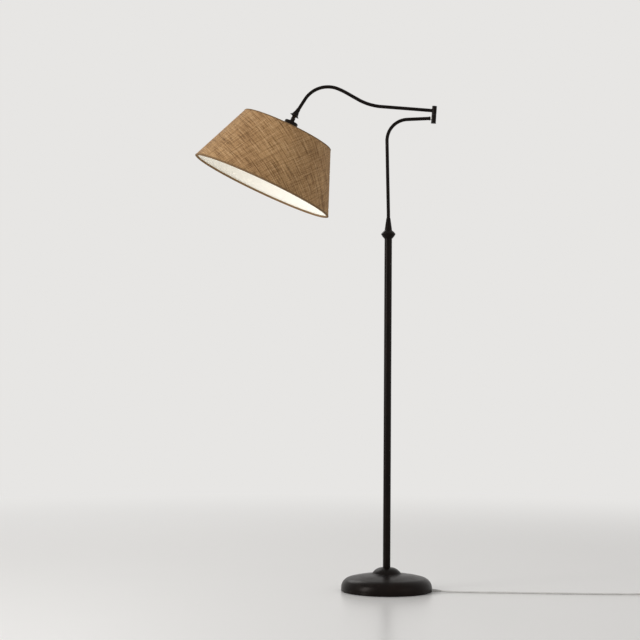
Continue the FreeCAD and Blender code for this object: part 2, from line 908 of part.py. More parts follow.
def switch_knob():
    """A tapered, fluted knob pressed on the shaft."""
    knob_start = socket_radius + knob_standoff
    shaft_reach = socket_radius - switch_shaft_inside + switch_shaft_length - knob_start
    outline = Outline(switch_shaft_radius, 0)
    outline.line(knob_radius, 0)
    outline.line(knob_tip_radius, knob_length - 1)
    outline.line(knob_tip_radius - 1, knob_length)
    outline.line(0, knob_length)
    outline.line(0, shaft_reach + seat_gap)
    outline.line(switch_shaft_radius, shaft_reach + seat_gap)
    knob = outline.turned()
    for n in range(knob_flutes):
        angle = math.radians(360 * n / knob_flutes)
        foot = FreeCAD.Vector(knob_radius * math.cos(angle), knob_radius * math.sin(angle), -1)
        knob = knob.cut(Part.makeCylinder(knob_flute_radius, knob_length + 2, foot))
    knob.rotate(origin, x_axis, 90)
    knob.translate(FreeCAD.Vector(0, -knob_start, -switch_drop))
    return head.put(knob)


bulb_top = insert_bottom - contact_height - bulb_tip_clearance
bulb_base_bottom = bulb_top - bulb_base_length


def bulb_base():
    tip = -bulb_tip_height
    outline = Outline(0, bulb_top)
    outline.line(bulb_tip_radius, bulb_top)
    outline.line(bulb_base_radius, bulb_top + tip)
    outline.line(bulb_base_radius, bulb_base_bottom)
    outline.line(0, bulb_base_bottom)
    return head.put(outline.turned())


def glass_outline(inset):
    """Points of the glass from its neck to its tip, set inwards by inset."""
    globe = (0, bulb_base_bottom - bulb_glass_length + bulb_globe_radius)
    size = bulb_globe_radius - inset
    fillet = bulb_neck_fillet + inset
    fillet_centre_x = bulb_neck_radius - inset + fillet
    rise = math.sqrt((size + fillet) ** 2 - fillet_centre_x**2)
    fillet_centre = (fillet_centre_x, globe[1] + rise)
    slope = math.degrees(math.atan2(fillet_centre_x, rise))
    meet = polar(globe, size, slope)
    mid = polar(fillet_centre, -fillet, (slope + 90) / 2)
    return fillet_centre[1], mid, meet, polar(globe, size, (slope + 180) / 2), globe[1] - size


def bulb_glass():
    neck_z, mid, meet, side, tip = glass_outline(0)
    inner_neck_z, inner_mid, inner_meet, inner_side, inner_tip = glass_outline(bulb_glass_wall)
    top = bulb_base_bottom - seat_gap
    outline = Outline(bulb_neck_radius, top)
    outline.line(bulb_neck_radius, neck_z)
    outline.arc(mid, meet)
    outline.arc(side, (0, tip))
    outline.line(0, inner_tip)
    outline.arc(inner_side, inner_meet)
    outline.arc(inner_mid, (bulb_neck_radius - bulb_glass_wall, inner_neck_z))
    outline.line(bulb_neck_radius - bulb_glass_wall, top)
    return head.put(outline.turned())


# The shade, also in the head's own frame

shade_slope = math.atan2(shade_bottom_radius - shade_top_radius, shade_height)
shade_side = math.hypot(shade_bottom_radius - shade_top_radius, shade_height)
wall_depth = cover_thickness + liner_thickness
wire_depth = wall_depth + soft_gap / 2 + wire_radius
trim_depth = wire_depth + wire_radius + soft_gap / 2 + trim_thickness


def shade_point(along, outwards):
    """Radius and height of a point on the shade's side: along it from its bottom, and outwards from it."""
    x = shade_bottom_radius - along * math.sin(shade_slope) + outwards * math.cos(shade_slope)
    z = -shade_top - shade_height + along * math.cos(shade_slope) + outwards * math.sin(shade_slope)
    return x, z


def shade_ring(corners):
    """A ring of the shade from its section's corners, each along the side and outwards."""
    outline = Outline(*shade_point(*corners[0]))
    for corner in corners[1:]:
        outline.line(*shade_point(*corner))
    return outline.turned()


def shade_layer(outside, inside):
    low = trim_thickness + seat_gap
    high = shade_side - trim_thickness - seat_gap
    return head.put(shade_ring([(low, -inside), (high, -inside), (high, -outside), (low, -outside)]))


def shade_cover():
    return shade_layer(0, cover_thickness)


def shade_liner():
    return shade_layer(cover_thickness + seat_gap, wall_depth)


def trim_ring(edge, way):
    """The binding folded round an edge of the shade and its wire; way is 1 upwards and -1 downwards."""
    lip = edge + way * trim_height
    web = edge + way * trim_thickness
    return shade_ring([
        (edge, trim_thickness), (lip, trim_thickness), (lip, seat_gap), (web, seat_gap),
        (web, trim_thickness - trim_depth), (lip, trim_thickness - trim_depth), (lip, -trim_depth),
        (edge, -trim_depth),
    ])


def wire_ring(along):
    x, z = shade_point(along, -wire_depth)
    return Part.makeTorus(x, wire_radius, point(0, z))


wire_from_edge = trim_thickness + soft_gap / 2 + wire_radius
fitter_top = -socket_shoulder - seat_gap


def spokes(radius):
    """The wires from the fitter's centre ring out to the top wire ring."""
    x, z = shade_point(shade_side - wire_from_edge, -wire_depth)
    ring_edge = socket_skirt_radius + fitter_ring_width
    start = point(ring_edge - fitter_weld, fitter_top - fitter_ring_thickness / 2)
    wire = cylinder(radius, start, point(x, z))
    copies = []
    for n in range(fitter_spokes):
        copy = wire.copy()
        copy.rotate(origin, z_axis, spoke_start_angle + 360 * n / fitter_spokes)
        copies.append(copy)
    return copies


def shade_fitter():
    """Centre ring, spokes and top wire ring, welded together."""
    inner = socket_skirt_radius + slip_fit
    outer = socket_skirt_radius + fitter_ring_width
    centre = ring(inner, outer, fitter_top - fitter_ring_thickness, fitter_top)
    return head.put(centre.multiFuse(spokes(fitter_wire_radius) + [wire_ring(shade_side - wire_from_edge)]))


def ring_nut():
    top = fitter_top - fitter_ring_thickness - seat_gap
    return head.put(ring(socket_skirt_radius + thread_fit, ring_nut_radius, top - ring_nut_height, top))


def shade_bottom_ring():
    return head.put(wire_ring(wire_from_edge))


def top_trim():
    """Notched where the fitter's spokes pass through its inner lip."""
    trim = trim_ring(shade_side, -1)
    for wire in spokes(fitter_wire_radius + soft_gap):
        trim = trim.cut(wire)
    return head.put(trim)


def bottom_trim():
    return head.put(trim_ring(0, 1))


# Leads inside the lamp

def stand_lead():
    """From the strain relief through the base, post, lower arm and neck, up to the top of the spigot."""
    start_x = base_radius - relief_wall_gap - relief_flange_thickness - soft_gap
    angle = math.radians(cord_angle)
    side = FreeCAD.Vector(math.cos(angle), math.sin(angle), 0)
    across = [
        side * start_x + FreeCAD.Vector(0, 0, relief_z),
        side * lead_bend_radius + FreeCAD.Vector(0, 0, relief_z),
        side * (lead_bend_radius * (1 - math.sin(math.radians(45))))
        + FreeCAD.Vector(0, 0, relief_z + lead_bend_radius * (1 - math.cos(math.radians(45)))),
        FreeCAD.Vector(0, 0, relief_z + lead_bend_radius),
    ]
    path = PipePath(0, relief_z + lead_bend_radius, 90)
    lay_lower(path)
    turn = 90 - barrel_lean - path.heading
    tangent = lead_turn_radius * math.tan(math.radians(turn / 2))
    path.run(neck_show + barrel_radius - tangent)
    path.bend(lead_turn_radius, turn)
    path.run(lower_arm_drop + spigot_top - lead_end_gap - tangent)
    first = [Part.makeLine(across[0], across[1]), Part.Arc(across[1], across[2], across[3]).toShape()]
    return sweep(first + path.edges, lead_radius)


def arm_lead():
    """From above the spigot through the upper arm to the swivel."""
    turn = upper_path_start - (90 - barrel_lean)
    tangent = lead_turn_radius * math.tan(math.radians(turn / 2))
    start = barrel.at(0, upper_arm_rise - tangent)
    path = PipePath(start.x, start.z, 90 - barrel_lean)
    path.bend(lead_turn_radius, turn)
    lay_upper(path, tangent)
    path.run(pivot_distance - knuckle_radius - 2 * swivel_stem_gap)
    return sweep(path.edges, lead_radius)


def head_lead():
    start = head.at(0, -knuckle_radius - 2 * swivel_stem_gap)
    return cylinder(lead_radius, start, head.at(0, -cap_top - stub_length))


# The cord, from the base to the plug

relief_lean = 90 + math.degrees(math.atan2(relief_drop, relief_length))
relief_frame = Frame(point(base_radius, relief_z), relief_lean)


def strain_relief():
    """Tapered boot with rings, a neck through the cover's notch and a flange inside it."""
    inside = -relief_wall_gap
    outline = Outline(0, inside - relief_flange_thickness)
    outline.line(relief_flange_radius, inside - relief_flange_thickness)
    outline.line(relief_flange_radius, inside)
    outline.line(relief_neck_radius, inside)
    outline.line(relief_neck_radius, soft_gap)
    outline.line(relief_radius, soft_gap)
    step = (relief_length - soft_gap) / (2 * relief_ring_count + 1)
    fall = (relief_radius - relief_tip_radius) / (2 * relief_ring_count + 1)
    z = soft_gap
    radius = relief_radius
    for n in range(relief_ring_count):
        z += step
        radius -= fall
        outline.line(radius, z)
        outline.line(radius - relief_ring_depth, z)
        z += step
        radius -= fall
        outline.line(radius - relief_ring_depth, z)
        outline.line(radius, z)
    outline.line(relief_tip_radius, relief_length)
    outline.line(0, relief_length)
    boot = relief_frame.put(outline.turned())
    reach = 2 * base_radius
    under = Part.makeBox(reach, reach, reach, FreeCAD.Vector(0, -reach / 2, relief_floor_gap - reach))
    return at_cord_angle(boot.cut(under))


def cord_tube(points):
    """A round cord along straight runs joined by arcs as large as the runs allow. Prints its radii."""
    edges = []
    radii = []
    length = 0.0
    start = points[0]
    for before, corner, after in zip(points, points[1:], points[2:]):
        back = before - corner
        ahead = after - corner
        turn = math.pi - back.getAngle(ahead)
        tangent = corner_share * min(back.Length, ahead.Length)
        radius = tangent / math.tan(turn / 2)
        back.normalize()
        ahead.normalize()
        bisector = back + ahead
        bisector.normalize()
        arc_start = corner + back * tangent
        arc_end = corner + ahead * tangent
        middle = corner + bisector * (radius / math.cos(turn / 2) - radius)
        edges.append(Part.LineSegment(start, arc_start).toShape())
        edges.append(Part.Arc(arc_start, middle, arc_end).toShape())
        length += (arc_start - start).Length + radius * turn
        radii.append(radius)
        start = arc_end
    edges.append(Part.LineSegment(start, points[-1]).toShape())
    length += (points[-1] - start).Length
    rod = sweep(edges, cord_radius)
    section = math.pi * cord_radius**2
    print("cord length %.1f, radii %s" % (length, " ".join("%.0f" % radius for radius in radii)))
    print("volume over section times length %.5f" % (rod.Volume / (section * length)))
    return rod


coil_low = cord_radius + coil_lift
coil_high = coil_low + coil_pitch
coil_start = FreeCAD.Vector(coil_centre_x - 2 * cord_radius, coil_entry_y, coil_low)
coil_end = FreeCAD.Vector(coil_centre_x + 2 * cord_radius, coil_entry_y, coil_high)
coil_centre_y = coil_entry_y + coil_outer_radius


def relief_tip():
    """Where the cord leaves the strain relief."""
    return at_cord_angle(Part.Vertex(relief_frame.at(0, relief_length + seat_gap))).Point


def cord_run():
    points = [relief_tip()] + [FreeCAD.Vector(*values) for values in cord_points] + [coil_start]
    return cord_tube(points)


def cord_tail():
    points = [coil_end] + [coil_end + FreeCAD.Vector(*step) for step in tail_steps]
    return cord_tube(points)


def coil_edges():
    """Half turns: a spiral inwards on the floor, one half turn that climbs, and a spiral outwards on top."""
    edges = [Part.makeLine(coil_start, FreeCAD.Vector(coil_centre_x, coil_entry_y, coil_low))]
    climb = coil_half_turns // 2
    y = -coil_outer_radius
    z = coil_low
    for n in range(coil_half_turns):
        step = n if n <= climb else coil_half_turns - n
        radius = coil_outer_radius - step * coil_pitch / 2
        side = 1 if n % 2 == 0 else -1
        new_y = y + side * 2 * radius
        new_z = coil_high if n >= climb else coil_low
        start = FreeCAD.Vector(coil_centre_x, coil_centre_y + y, z)
        end = FreeCAD.Vector(coil_centre_x, coil_centre_y + new_y, new_z)
        half = (end - start).Length / 2
        middle = (start + end) * 0.5 + FreeCAD.Vector(side * half, 0, 0)
        edges.append(Part.Arc(start, middle, end).toShape())
        y = new_y
        z = new_z
    edges.append(Part.makeLine(FreeCAD.Vector(coil_centre_x, coil_entry_y, coil_high), coil_end))
    return edges


def coil_gap(edges):
    """The least gap between turns, on points of the centre line that are over a quarter turn apart."""
    points = Part.Wire(edges).discretize(coil_check_points * coil_half_turns)
    away = coil_check_points // 2
    least = min(
        (points[j] - points[i]).Length
        for i in range(len(points))
        for j in range(i + away, len(points))
    )
    return least - 2 * cord_radius


def cord_coil():
    edges = coil_edges()
    print("coil length %.1f, least gap %.2f" % (sum(edge.Length for edge in edges), coil_gap(edges)))
    return sweep(edges, cord_radius)


def cord_tie():
    """A band round all the turns on the coil's far side."""
    climb = coil_half_turns // 2
    clear = cord_radius + tie_slack
    y_low = coil_centre_y + coil_outer_radius - climb * coil_pitch / 2 - clear
    y_high = coil_centre_y + coil_outer_radius + clear
    z_low = coil_low - clear
    z_high = coil_high + clear
    x = coil_centre_x - tie_width / 2
    hole = Part.makeBox(tie_width, y_high - y_low, z_high - z_low, FreeCAD.Vector(x, y_low, z_low))
    band = Part.makeBox(tie_width, y_high - y_low + 2 * tie_thickness, z_high - z_low + 2 * tie_thickness,
                        FreeCAD.Vector(x, y_low - tie_thickness, z_low - tie_thickness))
    along = [edge for edge in band.Edges if abs(edge.tangentAt(edge.FirstParameter).x) > 0.9]
    hole_along = [edge for edge in hole.Edges if abs(edge.tangentAt(edge.FirstParameter).x) > 0.9]
    return band.makeFillet(cord_radius + tie_thickness, along).cut(hole.makeFillet(cord_radius, hole_along))


def plug_place(shape):
    """Turns and moves a shape made along +X from the origin to the end of the tail."""
    last = FreeCAD.Vector(*tail_steps[-1])
    heading = last - FreeCAD.Vector(*tail_steps[-2])
    turn = math.degrees(math.atan2(heading.y, heading.x))
    shape.rotate(origin, z_axis, turn)
    shape.translate(coil_end + last)
    return shape


def plug_body():
    """Moulded two-pin plug lying flat, narrowed at the cord's end."""
    half = plug_width / 2
    narrow = plug_neck_width / 2
    corners = [
        (0, -narrow), (plug_neck_length, -half), (plug_length, -half),
        (plug_length, half), (plug_neck_length, half), (0, narrow), (0, -narrow),
    ]
    outline = Part.makePolygon([FreeCAD.Vector(x, y, -plug_thickness / 2) for x, y in corners])
    body = Part.Face(outline).extrude(FreeCAD.Vector(0, 0, plug_thickness))
    return plug_place(body.makeFillet(plug_corner, body.Edges))


def plug_blades():
    blades = []
    for side in (-1, 1):
        y = side * blade_spacing / 2 - blade_thickness / 2
        corner = FreeCAD.Vector(plug_length, y, -blade_width / 2)
        blades.append(plug_place(Part.makeBox(blade_length, blade_thickness, blade_width, corner)))
    return Part.makeCompound(blades)


nodes = {
    "base_cover": base_cover,
    "base_weight": base_weight,
    "base_pad": base_pad,
    "base_nipple": base_nipple,
    "base_washer": base_washer,
    "base_nut": base_nut,
    "post_tube": post_tube,
    "post_lower_bush": lower_bush,
    "post_upper_bush": upper_bush,
    "collar_ring": collar_ring,
    "cone_nut": cone_nut,
    "lower_arm": lower_arm,
    "arm_ferrule": arm_ferrule,
    "arm_neck": arm_neck,
    "barrel_lower_knuckle": lower_knuckle,
    "barrel_foot": barrel_foot,
    "barrel_washer": swing_washer,
    "barrel_snap_ring": snap_ring,
    "barrel_upper_knuckle": upper_knuckle,
    "barrel_top_cap": barrel_top_cap,
    "upper_arm": upper_arm,
    "swivel_bell": swivel_bell,
    "swivel_upper_half": swivel_upper,
    "swivel_lower_half": swivel_lower,
    "swivel_washer": swivel_washer,
    "swivel_screw": swivel_screw,
    "swivel_nut": swivel_nut,
    "socket_cap": socket_cap,
    "socket_cap_nut": cap_nut,
    "socket_body": socket_body,
    "socket_insert": socket_insert,
    "socket_screw_shell": screw_shell,
    "socket_contact": centre_contact,
    "switch_shaft": switch_shaft,
    "switch_knob": switch_knob,
    "bulb_base": bulb_base,
    "bulb_glass": bulb_glass,
    "shade_fitter": shade_fitter,
    "shade_ring_nut": ring_nut,
    "shade_bottom_ring": shade_bottom_ring,
    "shade_cover": shade_cover,
    "shade_liner": shade_liner,
    "shade_top_trim": top_trim,
    "shade_bottom_trim": bottom_trim,
    "stand_lead": stand_lead,
    "arm_lead": arm_lead,
    "head_lead": head_lead,
    "strain_relief": strain_relief,
    "cord_run": cord_run,
    "cord_coil": cord_coil,
    "cord_tail": cord_tail,
    "cord_tie": cord_tie,
    "plug_body": plug_body,
    "plug_blades": plug_blades,
}


def write_parts():
    os.makedirs("parts", exist_ok=True)
    for name, make in nodes.items():
        shape = make()
        if not shape.isValid():
            raise ValueError(name + " is not a valid shape")
        shape.exportStep("parts/" + name + ".step")
        print("%-22s solids %d volume %.1f" % (name, len(shape.Solids), shape.Volume))


write_parts()
for label, place in (("barrel", barrel.origin), ("upper arm end", upper_end), ("pivot", pivot)):
    print("%s at %.5f %.5f" % (label, place.x, place.z))
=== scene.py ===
import json
from math import asin, atan2, copysign, cos, degrees, hypot, pi, radians, sin, sqrt
import bmesh
import bpy
import numpy as np
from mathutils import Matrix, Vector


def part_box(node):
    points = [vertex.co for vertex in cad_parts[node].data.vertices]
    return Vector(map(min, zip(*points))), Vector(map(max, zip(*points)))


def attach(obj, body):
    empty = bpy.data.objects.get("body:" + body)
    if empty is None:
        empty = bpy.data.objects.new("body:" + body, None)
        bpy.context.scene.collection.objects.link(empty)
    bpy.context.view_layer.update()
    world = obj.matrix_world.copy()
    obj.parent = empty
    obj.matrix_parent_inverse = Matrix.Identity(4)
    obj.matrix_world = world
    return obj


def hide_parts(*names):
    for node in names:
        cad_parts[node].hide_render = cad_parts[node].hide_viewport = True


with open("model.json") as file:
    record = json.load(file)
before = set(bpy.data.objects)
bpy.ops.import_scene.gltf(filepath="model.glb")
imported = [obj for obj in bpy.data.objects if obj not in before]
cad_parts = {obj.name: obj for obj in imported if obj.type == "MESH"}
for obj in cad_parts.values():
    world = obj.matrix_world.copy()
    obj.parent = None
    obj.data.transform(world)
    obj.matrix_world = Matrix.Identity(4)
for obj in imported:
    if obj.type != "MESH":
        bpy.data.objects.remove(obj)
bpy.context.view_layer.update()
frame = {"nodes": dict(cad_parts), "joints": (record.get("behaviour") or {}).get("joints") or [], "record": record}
nodes = frame["nodes"]
record = frame["record"]
joints = {joint["name"]: joint for joint in frame["joints"]}
slotOf = {part["node"]: part["material_slot"] for part in record["subparts"]}
bodyOf = {node: body for body, held in record["behaviour"]["bodies"].items() for node in held}
print("frame loaded:", len(nodes), "solids")

# Metres, +Z up, the front is -Y. Angles are in degrees.
softEdge = 0.0004   # the usual rounding of an edge


class Values(dict):
    # a dictionary whose entries are also read as attributes
    __getattr__ = dict.__getitem__


def addObject(name, data):
    made = bpy.data.objects.new(name, data)
    bpy.context.collection.objects.link(made)
    return made


# Camera: low and level, as the photograph was taken, with a slight roll

cameraView = Values(place=(-0.2027, -4.800, 0.632), roll=-0.29, lens=90.0, sensor=36.0, shiftUp=0.0938)

cameraData = bpy.data.cameras.new("studioCamera")
cameraData.lens = cameraView.lens
cameraData.sensor_width = cameraView.sensor
cameraData.shift_y = cameraView.shiftUp
camera = addObject("studioCamera", cameraData)
camera.location = cameraView.place
camera.rotation_euler = (radians(90), radians(cameraView.roll), 0)
bpy.context.scene.camera = camera


# Places and paths

ySide = np.array([0.0, 1.0, 0.0])


def leaning(origin, lean):
    # a place whose own +Z leans from +Z towards +X: its origin and its turned X and Z directions
    angle = radians(lean)
    across = np.array([cos(angle), 0, -sin(angle)])
    up = np.array([sin(angle), 0, cos(angle)])
    return Values(origin=np.array(origin, float), across=across, up=up)


def moved(points, place):
    # own x goes along across, own y stays along +Y, own z goes along up, and the origin is added
    return (place.origin + points[..., :1] * place.across + points[..., 1:2] * ySide
            + points[..., 2:] * place.up)


def turnedAboutZ(points, angle):
    c, s = cos(radians(angle)), sin(radians(angle))
    x, y = points[..., 0], points[..., 1]
    return np.stack([c * x - s * y, s * x + c * y, points[..., 2]], -1)


def around(count):
    # the angles of points spread round a full turn
    return np.linspace(0, 2 * pi, count, endpoint=False)


def wheel(radius, turn, height):
    # (radius cos t, radius sin t, height)
    return np.stack([radius * np.cos(turn), radius * np.sin(turn), height + 0 * turn], -1)


def pipeLine(start, heading, pieces, step=0.003):
    # runs ("run", length) and bends ("bend", radius, turn) in the XZ plane, sampled every step;
    # a bend's point is its centre plus the radius turned by the angle gone so far
    place = np.array(start, float)
    angle = radians(heading)
    points = [place[None]]
    for kind, length, *rest in pieces:
        if kind == "run":
            way = np.array([cos(angle), sin(angle)])
            new = place + np.linspace(0, length, 2 + int(length / step))[1:, None] * way
        else:
            turn = radians(rest[0])
            reach = copysign(length, turn)
            centre = place + reach * np.array([-sin(angle), cos(angle)])
            gone = angle + np.linspace(0, turn, 3 + int(length * abs(turn) / step))[1:]
            new = centre + reach * np.stack([np.sin(gone), -np.cos(gone)], -1)
            angle += turn
        points.append(new)
        place = new[-1]
    line = np.concatenate(points)
    return np.stack([line[:, 0], 0 * line[:, 0], line[:, 1]], -1), degrees(angle)


def rounded(corners, closed=True, steps=5):
    # an outline through the corners (x, z) or (x, z, radius), each cut back by its radius and filled with a
    # quadratic curve: (1-t)^2 of the point before, 2t(1-t) of the corner and t^2 of the point after
    corners = np.array([(*spot, 0.0)[:3] for spot in corners])
    last = len(corners) - 1
    t = np.linspace(0, 1, steps)[:, None]
    out = []
    for n, (*here, radius) in enumerate(corners):
        here = np.array(here)
        if radius == 0 or (not closed and n in (0, last)):
            out.append(here[None])
            continue
        sides = [corners[n - 1, :2] - here, corners[(n + 1) % len(corners), :2] - here]
        sizes = [np.linalg.norm(side) for side in sides]
        reach = min(radius, 0.48 * min(sizes))
        a, b = (here + side / size * reach for side, size in zip(sides, sizes))
        out.append((1 - t) ** 2 * a + 2 * t * (1 - t) * here + t ** 2 * b)
    return np.concatenate(out)


def ring(inner, outer, low, high, edge=0.0, upperEdge=None):
    # the section of a tube, its outer corners rounded
    return rounded([(inner, low), (outer, low, edge), (outer, high, edge if upperEdge is None else upperEdge),
                    (inner, high)])


def arcSpan(centre, radius, startSlope, endSlope, count):
    # points of a circle by the slope of the outline over it, falling outwards
    slope = np.radians(np.linspace(startSlope, endSlope, count))
    return np.stack([centre[0] + radius * np.sin(slope), centre[1] + radius * np.cos(slope)], -1)


def bulged(start, end, rise, count=14):
    # a parabola from start to end that stands out by rise to the left of the way there
    t = np.linspace(0, 1, count)[:, None]
    start, end = np.array(start, float), np.array(end, float)
    way = (end - start) / np.linalg.norm(end - start)
    return start + t * (end - start) + 4 * rise * t * (1 - t) * np.array([-way[1], way[0]])


def span(name):
    # a solid's lowest and highest height
    low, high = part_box(name)
    return low.z, high.z


# Meshes from grids

def addGrid(name, grid, closed=True, uv=None, weld=False, sharp=35):
    # a face for each cell between the grid's rows and columns of points; the columns close into a ring, and the
    # rows too where closed, otherwise their ends are welded into poles
    rows, columns = grid.shape[:2]
    r, c = np.indices((rows if closed else rows - 1, columns)).reshape(2, -1)
    down, right = (r + 1) % rows * columns, (c + 1) % columns
    faces = np.stack([r * columns + c, r * columns + right, down + right, down + c], -1)
    if uv is not None:   # one more row and column than the grid
        uv = np.stack([uv[r, c], uv[r, c + 1], uv[r + 1, c + 1], uv[r + 1, c]], 1)
    points = grid.reshape(-1, 3)
    a, b, p, q = (points[faces[:, k]] for k in range(4))
    if (np.cross(a, b) * p).sum() + (np.cross(a, p) * q).sum() < 0:   # six times the volume: it is inside out
        faces = faces[:, ::-1]
        uv = None if uv is None else uv[:, ::-1]
    mesh = bpy.data.meshes.new(name)
    mesh.vertices.add(len(points))
    mesh.vertices.foreach_set("co", np.ascontiguousarray(points, np.float32).ravel())
    mesh.loops.add(faces.size)
    mesh.loops.foreach_set("vertex_index", np.ascontiguousarray(faces, np.int32).ravel())
    mesh.polygons.add(len(faces))
    mesh.polygons.foreach_set("loop_start", np.arange(0, faces.size, 4, dtype=np.int32))
    mesh.update(calc_edges=True)
    if uv is not None:
        layer = mesh.uv_layers.new(name="clothMap")
        layer.data.foreach_set("uv", np.ascontiguousarray(uv, np.float32).ravel())
    if weld or not closed:
        work = bmesh.new()
        work.from_mesh(mesh)
        bmesh.ops.remove_doubles(work, verts=work.verts, dist=1e-6)
        work.to_mesh(mesh)
        work.free()
    mesh.polygons.foreach_set("use_smooth", np.ones(len(mesh.polygons), bool))
    mesh.set_sharp_from_angle(angle=radians(sharp))
    mesh.validate()
    return addObject(name, mesh)


def latheGrid(outline, count):
    # each outline point (radius, height) turned about Z
    return wheel(outline[:, :1], around(count), outline[:, 1:])


def sweepPipe(name, line, radius, bore, count=40, edge=0.0006):
    # circles across a line in the XZ plane: point = line + radius (cos t N + sin t Y), N square to the line;
    # the rows go out along the outside and back along the bore, with a rounded edge at both ends
    way = np.gradient(line, axis=0)
    way /= np.linalg.norm(way, axis=1)[:, None]
    normal = np.stack([way[:, 2], 0 * way[:, 0], -way[:, 0]], -1)
    cut = edge * np.array([1, 0.3, 0])
    last = len(line) - 1
    out = np.concatenate([[0, 0], np.arange(last + 1), [last, last]])
    path, sizes = line[out], np.full(len(out), radius)
    path[:3] += cut[::-1, None] * way[0]
    path[-3:] -= cut[:, None] * way[last]
    sizes[:3] -= cut
    sizes[-3:] -= cut[::-1]
    path = np.concatenate([path, line[::-1]])
    sizes = np.append(sizes, np.full(last + 1, bore))[:, None, None]
    turn = around(count)[None, :, None]
    circles = np.cos(turn) * np.concatenate([normal[out], normal[::-1]])[:, None] + np.sin(turn) * ySide
    return addGrid(name, path[:, None] + sizes * circles)


def dress(piece, *replaced, like=None, material=None):
    # the piece moves with the solids that it replaces, or else with the one that it is like, and takes their slot
    # and finish
    node = like or replaced[0]
    piece.data.materials.append(material or slotMaterials[slotOf[node]])
    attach(piece, bodyOf[node])
    if replaced:
        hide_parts(*replaced)
    return piece


def dipped(grid, wave):
    # the grid with its radius made smaller by wave(angle, radius, height)
    size = np.hypot(grid[..., 0], grid[..., 1])
    dip = wave(np.arctan2(grid[..., 1], grid[..., 0]), size, grid[..., 2])
    share = 1 - dip / np.maximum(size, 1e-9)
    return grid * np.stack([share, share, np.ones_like(share)], -1)


def lathe(name, outline, node, place=None, closed=True, count=96, wave=None):
    # a turned piece in place of the node, with its radius dipped by the wave where there is one
    grid = latheGrid(outline, count)
    grid = grid if wave is None else dipped(grid, wave)
    grid = grid if place is None else moved(grid, place)
    return dress(addGrid(name, grid, closed), node)


# Material nodes

def connect(tree, socket, value):
    if isinstance(value, bpy.types.NodeSocket):
        tree.links.new(value, socket)
    else:
        socket.default_value = value


def put(tree, kind, inputs=None, **settings):
    made = tree.nodes.new("ShaderNode" + kind)
    for key, value in settings.items():
        setattr(made, key, value)
    for key, value in (inputs or {}).items():
        connect(tree, made.inputs[key], value)
    return made


def sums(tree, operation, a, b=0.0, c=0.0):
    return put(tree, "Math", {0: a, 1: b, 2: c}, operation=operation).outputs[0]


def times(tree, a, b):
    return sums(tree, "MULTIPLY", a, b)


def ramp(tree, value, fromLow, fromHigh, toLow=0.0, toHigh=1.0, **settings):
    return put(tree, "MapRange", {"Value": value, "From Min": fromLow, "From Max": fromHigh, "To Min": toLow,
                                  "To Max": toHigh}, **settings).outputs[0]


def noise(tree, spot, scale, detail=2.0, rough=0.5, distortion=0.0, **settings):
    return put(tree, "TexNoise", {"Vector": spot, "Scale": scale, "Detail": detail, "Roughness": rough,
                                  "Distortion": distortion}, **settings).outputs[0]


def blend(tree, factor, a, b, kind="MIX"):
    made = put(tree, "Mix", data_type="RGBA", blend_type=kind)
    for index, value in ((0, factor), (6, a), (7, b)):
        connect(tree, made.inputs[index], (*value, 1.0) if isinstance(value, tuple) else value)
    return made.outputs[2]


def group(name, fill, outputs, **inputs):
    # a shared effect; an input is a number with its usual value, or a vector where that is None
    tree = bpy.data.node_groups.new(name, "ShaderNodeTree")
    for label, value in inputs.items():
        kind = "NodeSocketVector" if value is None else "NodeSocketFloat"
        socket = tree.interface.new_socket(label, in_out="INPUT", socket_type=kind)
        if value is not None:
            socket.default_value = value
    for label in outputs:
        tree.interface.new_socket(label, in_out="OUTPUT", socket_type="NodeSocketFloat")
    start = tree.nodes.new("NodeGroupInput")
    end = tree.nodes.new("NodeGroupOutput")
    for label, socket in fill(tree, start.outputs).items():
        tree.links.new(socket, end.inputs[label])
    return tree


def shared(tree, made, **inputs):
    # a group set in a material
    return put(tree, "Group", inputs, node_tree=made).outputs


def fillPatina(tree, given):
    # soft brown clouds, small darker specks and a fine grain for the bump
    spot, size = given["Place"], given["Size"]
    specks = noise(tree, spot, times(tree, size, 16.0), 3.0, 0.7)
    clouds = noise(tree, spot, size, 4.0, 0.6)
    return {"Cloud": ramp(tree, clouds, 0.32, 0.68), "Speck": ramp(tree, specks, 0.55, 0.75),
            "Height": sums(tree, "MULTIPLY_ADD", specks, 0.5, noise(tree, spot, times(tree, size, 60.0)))}


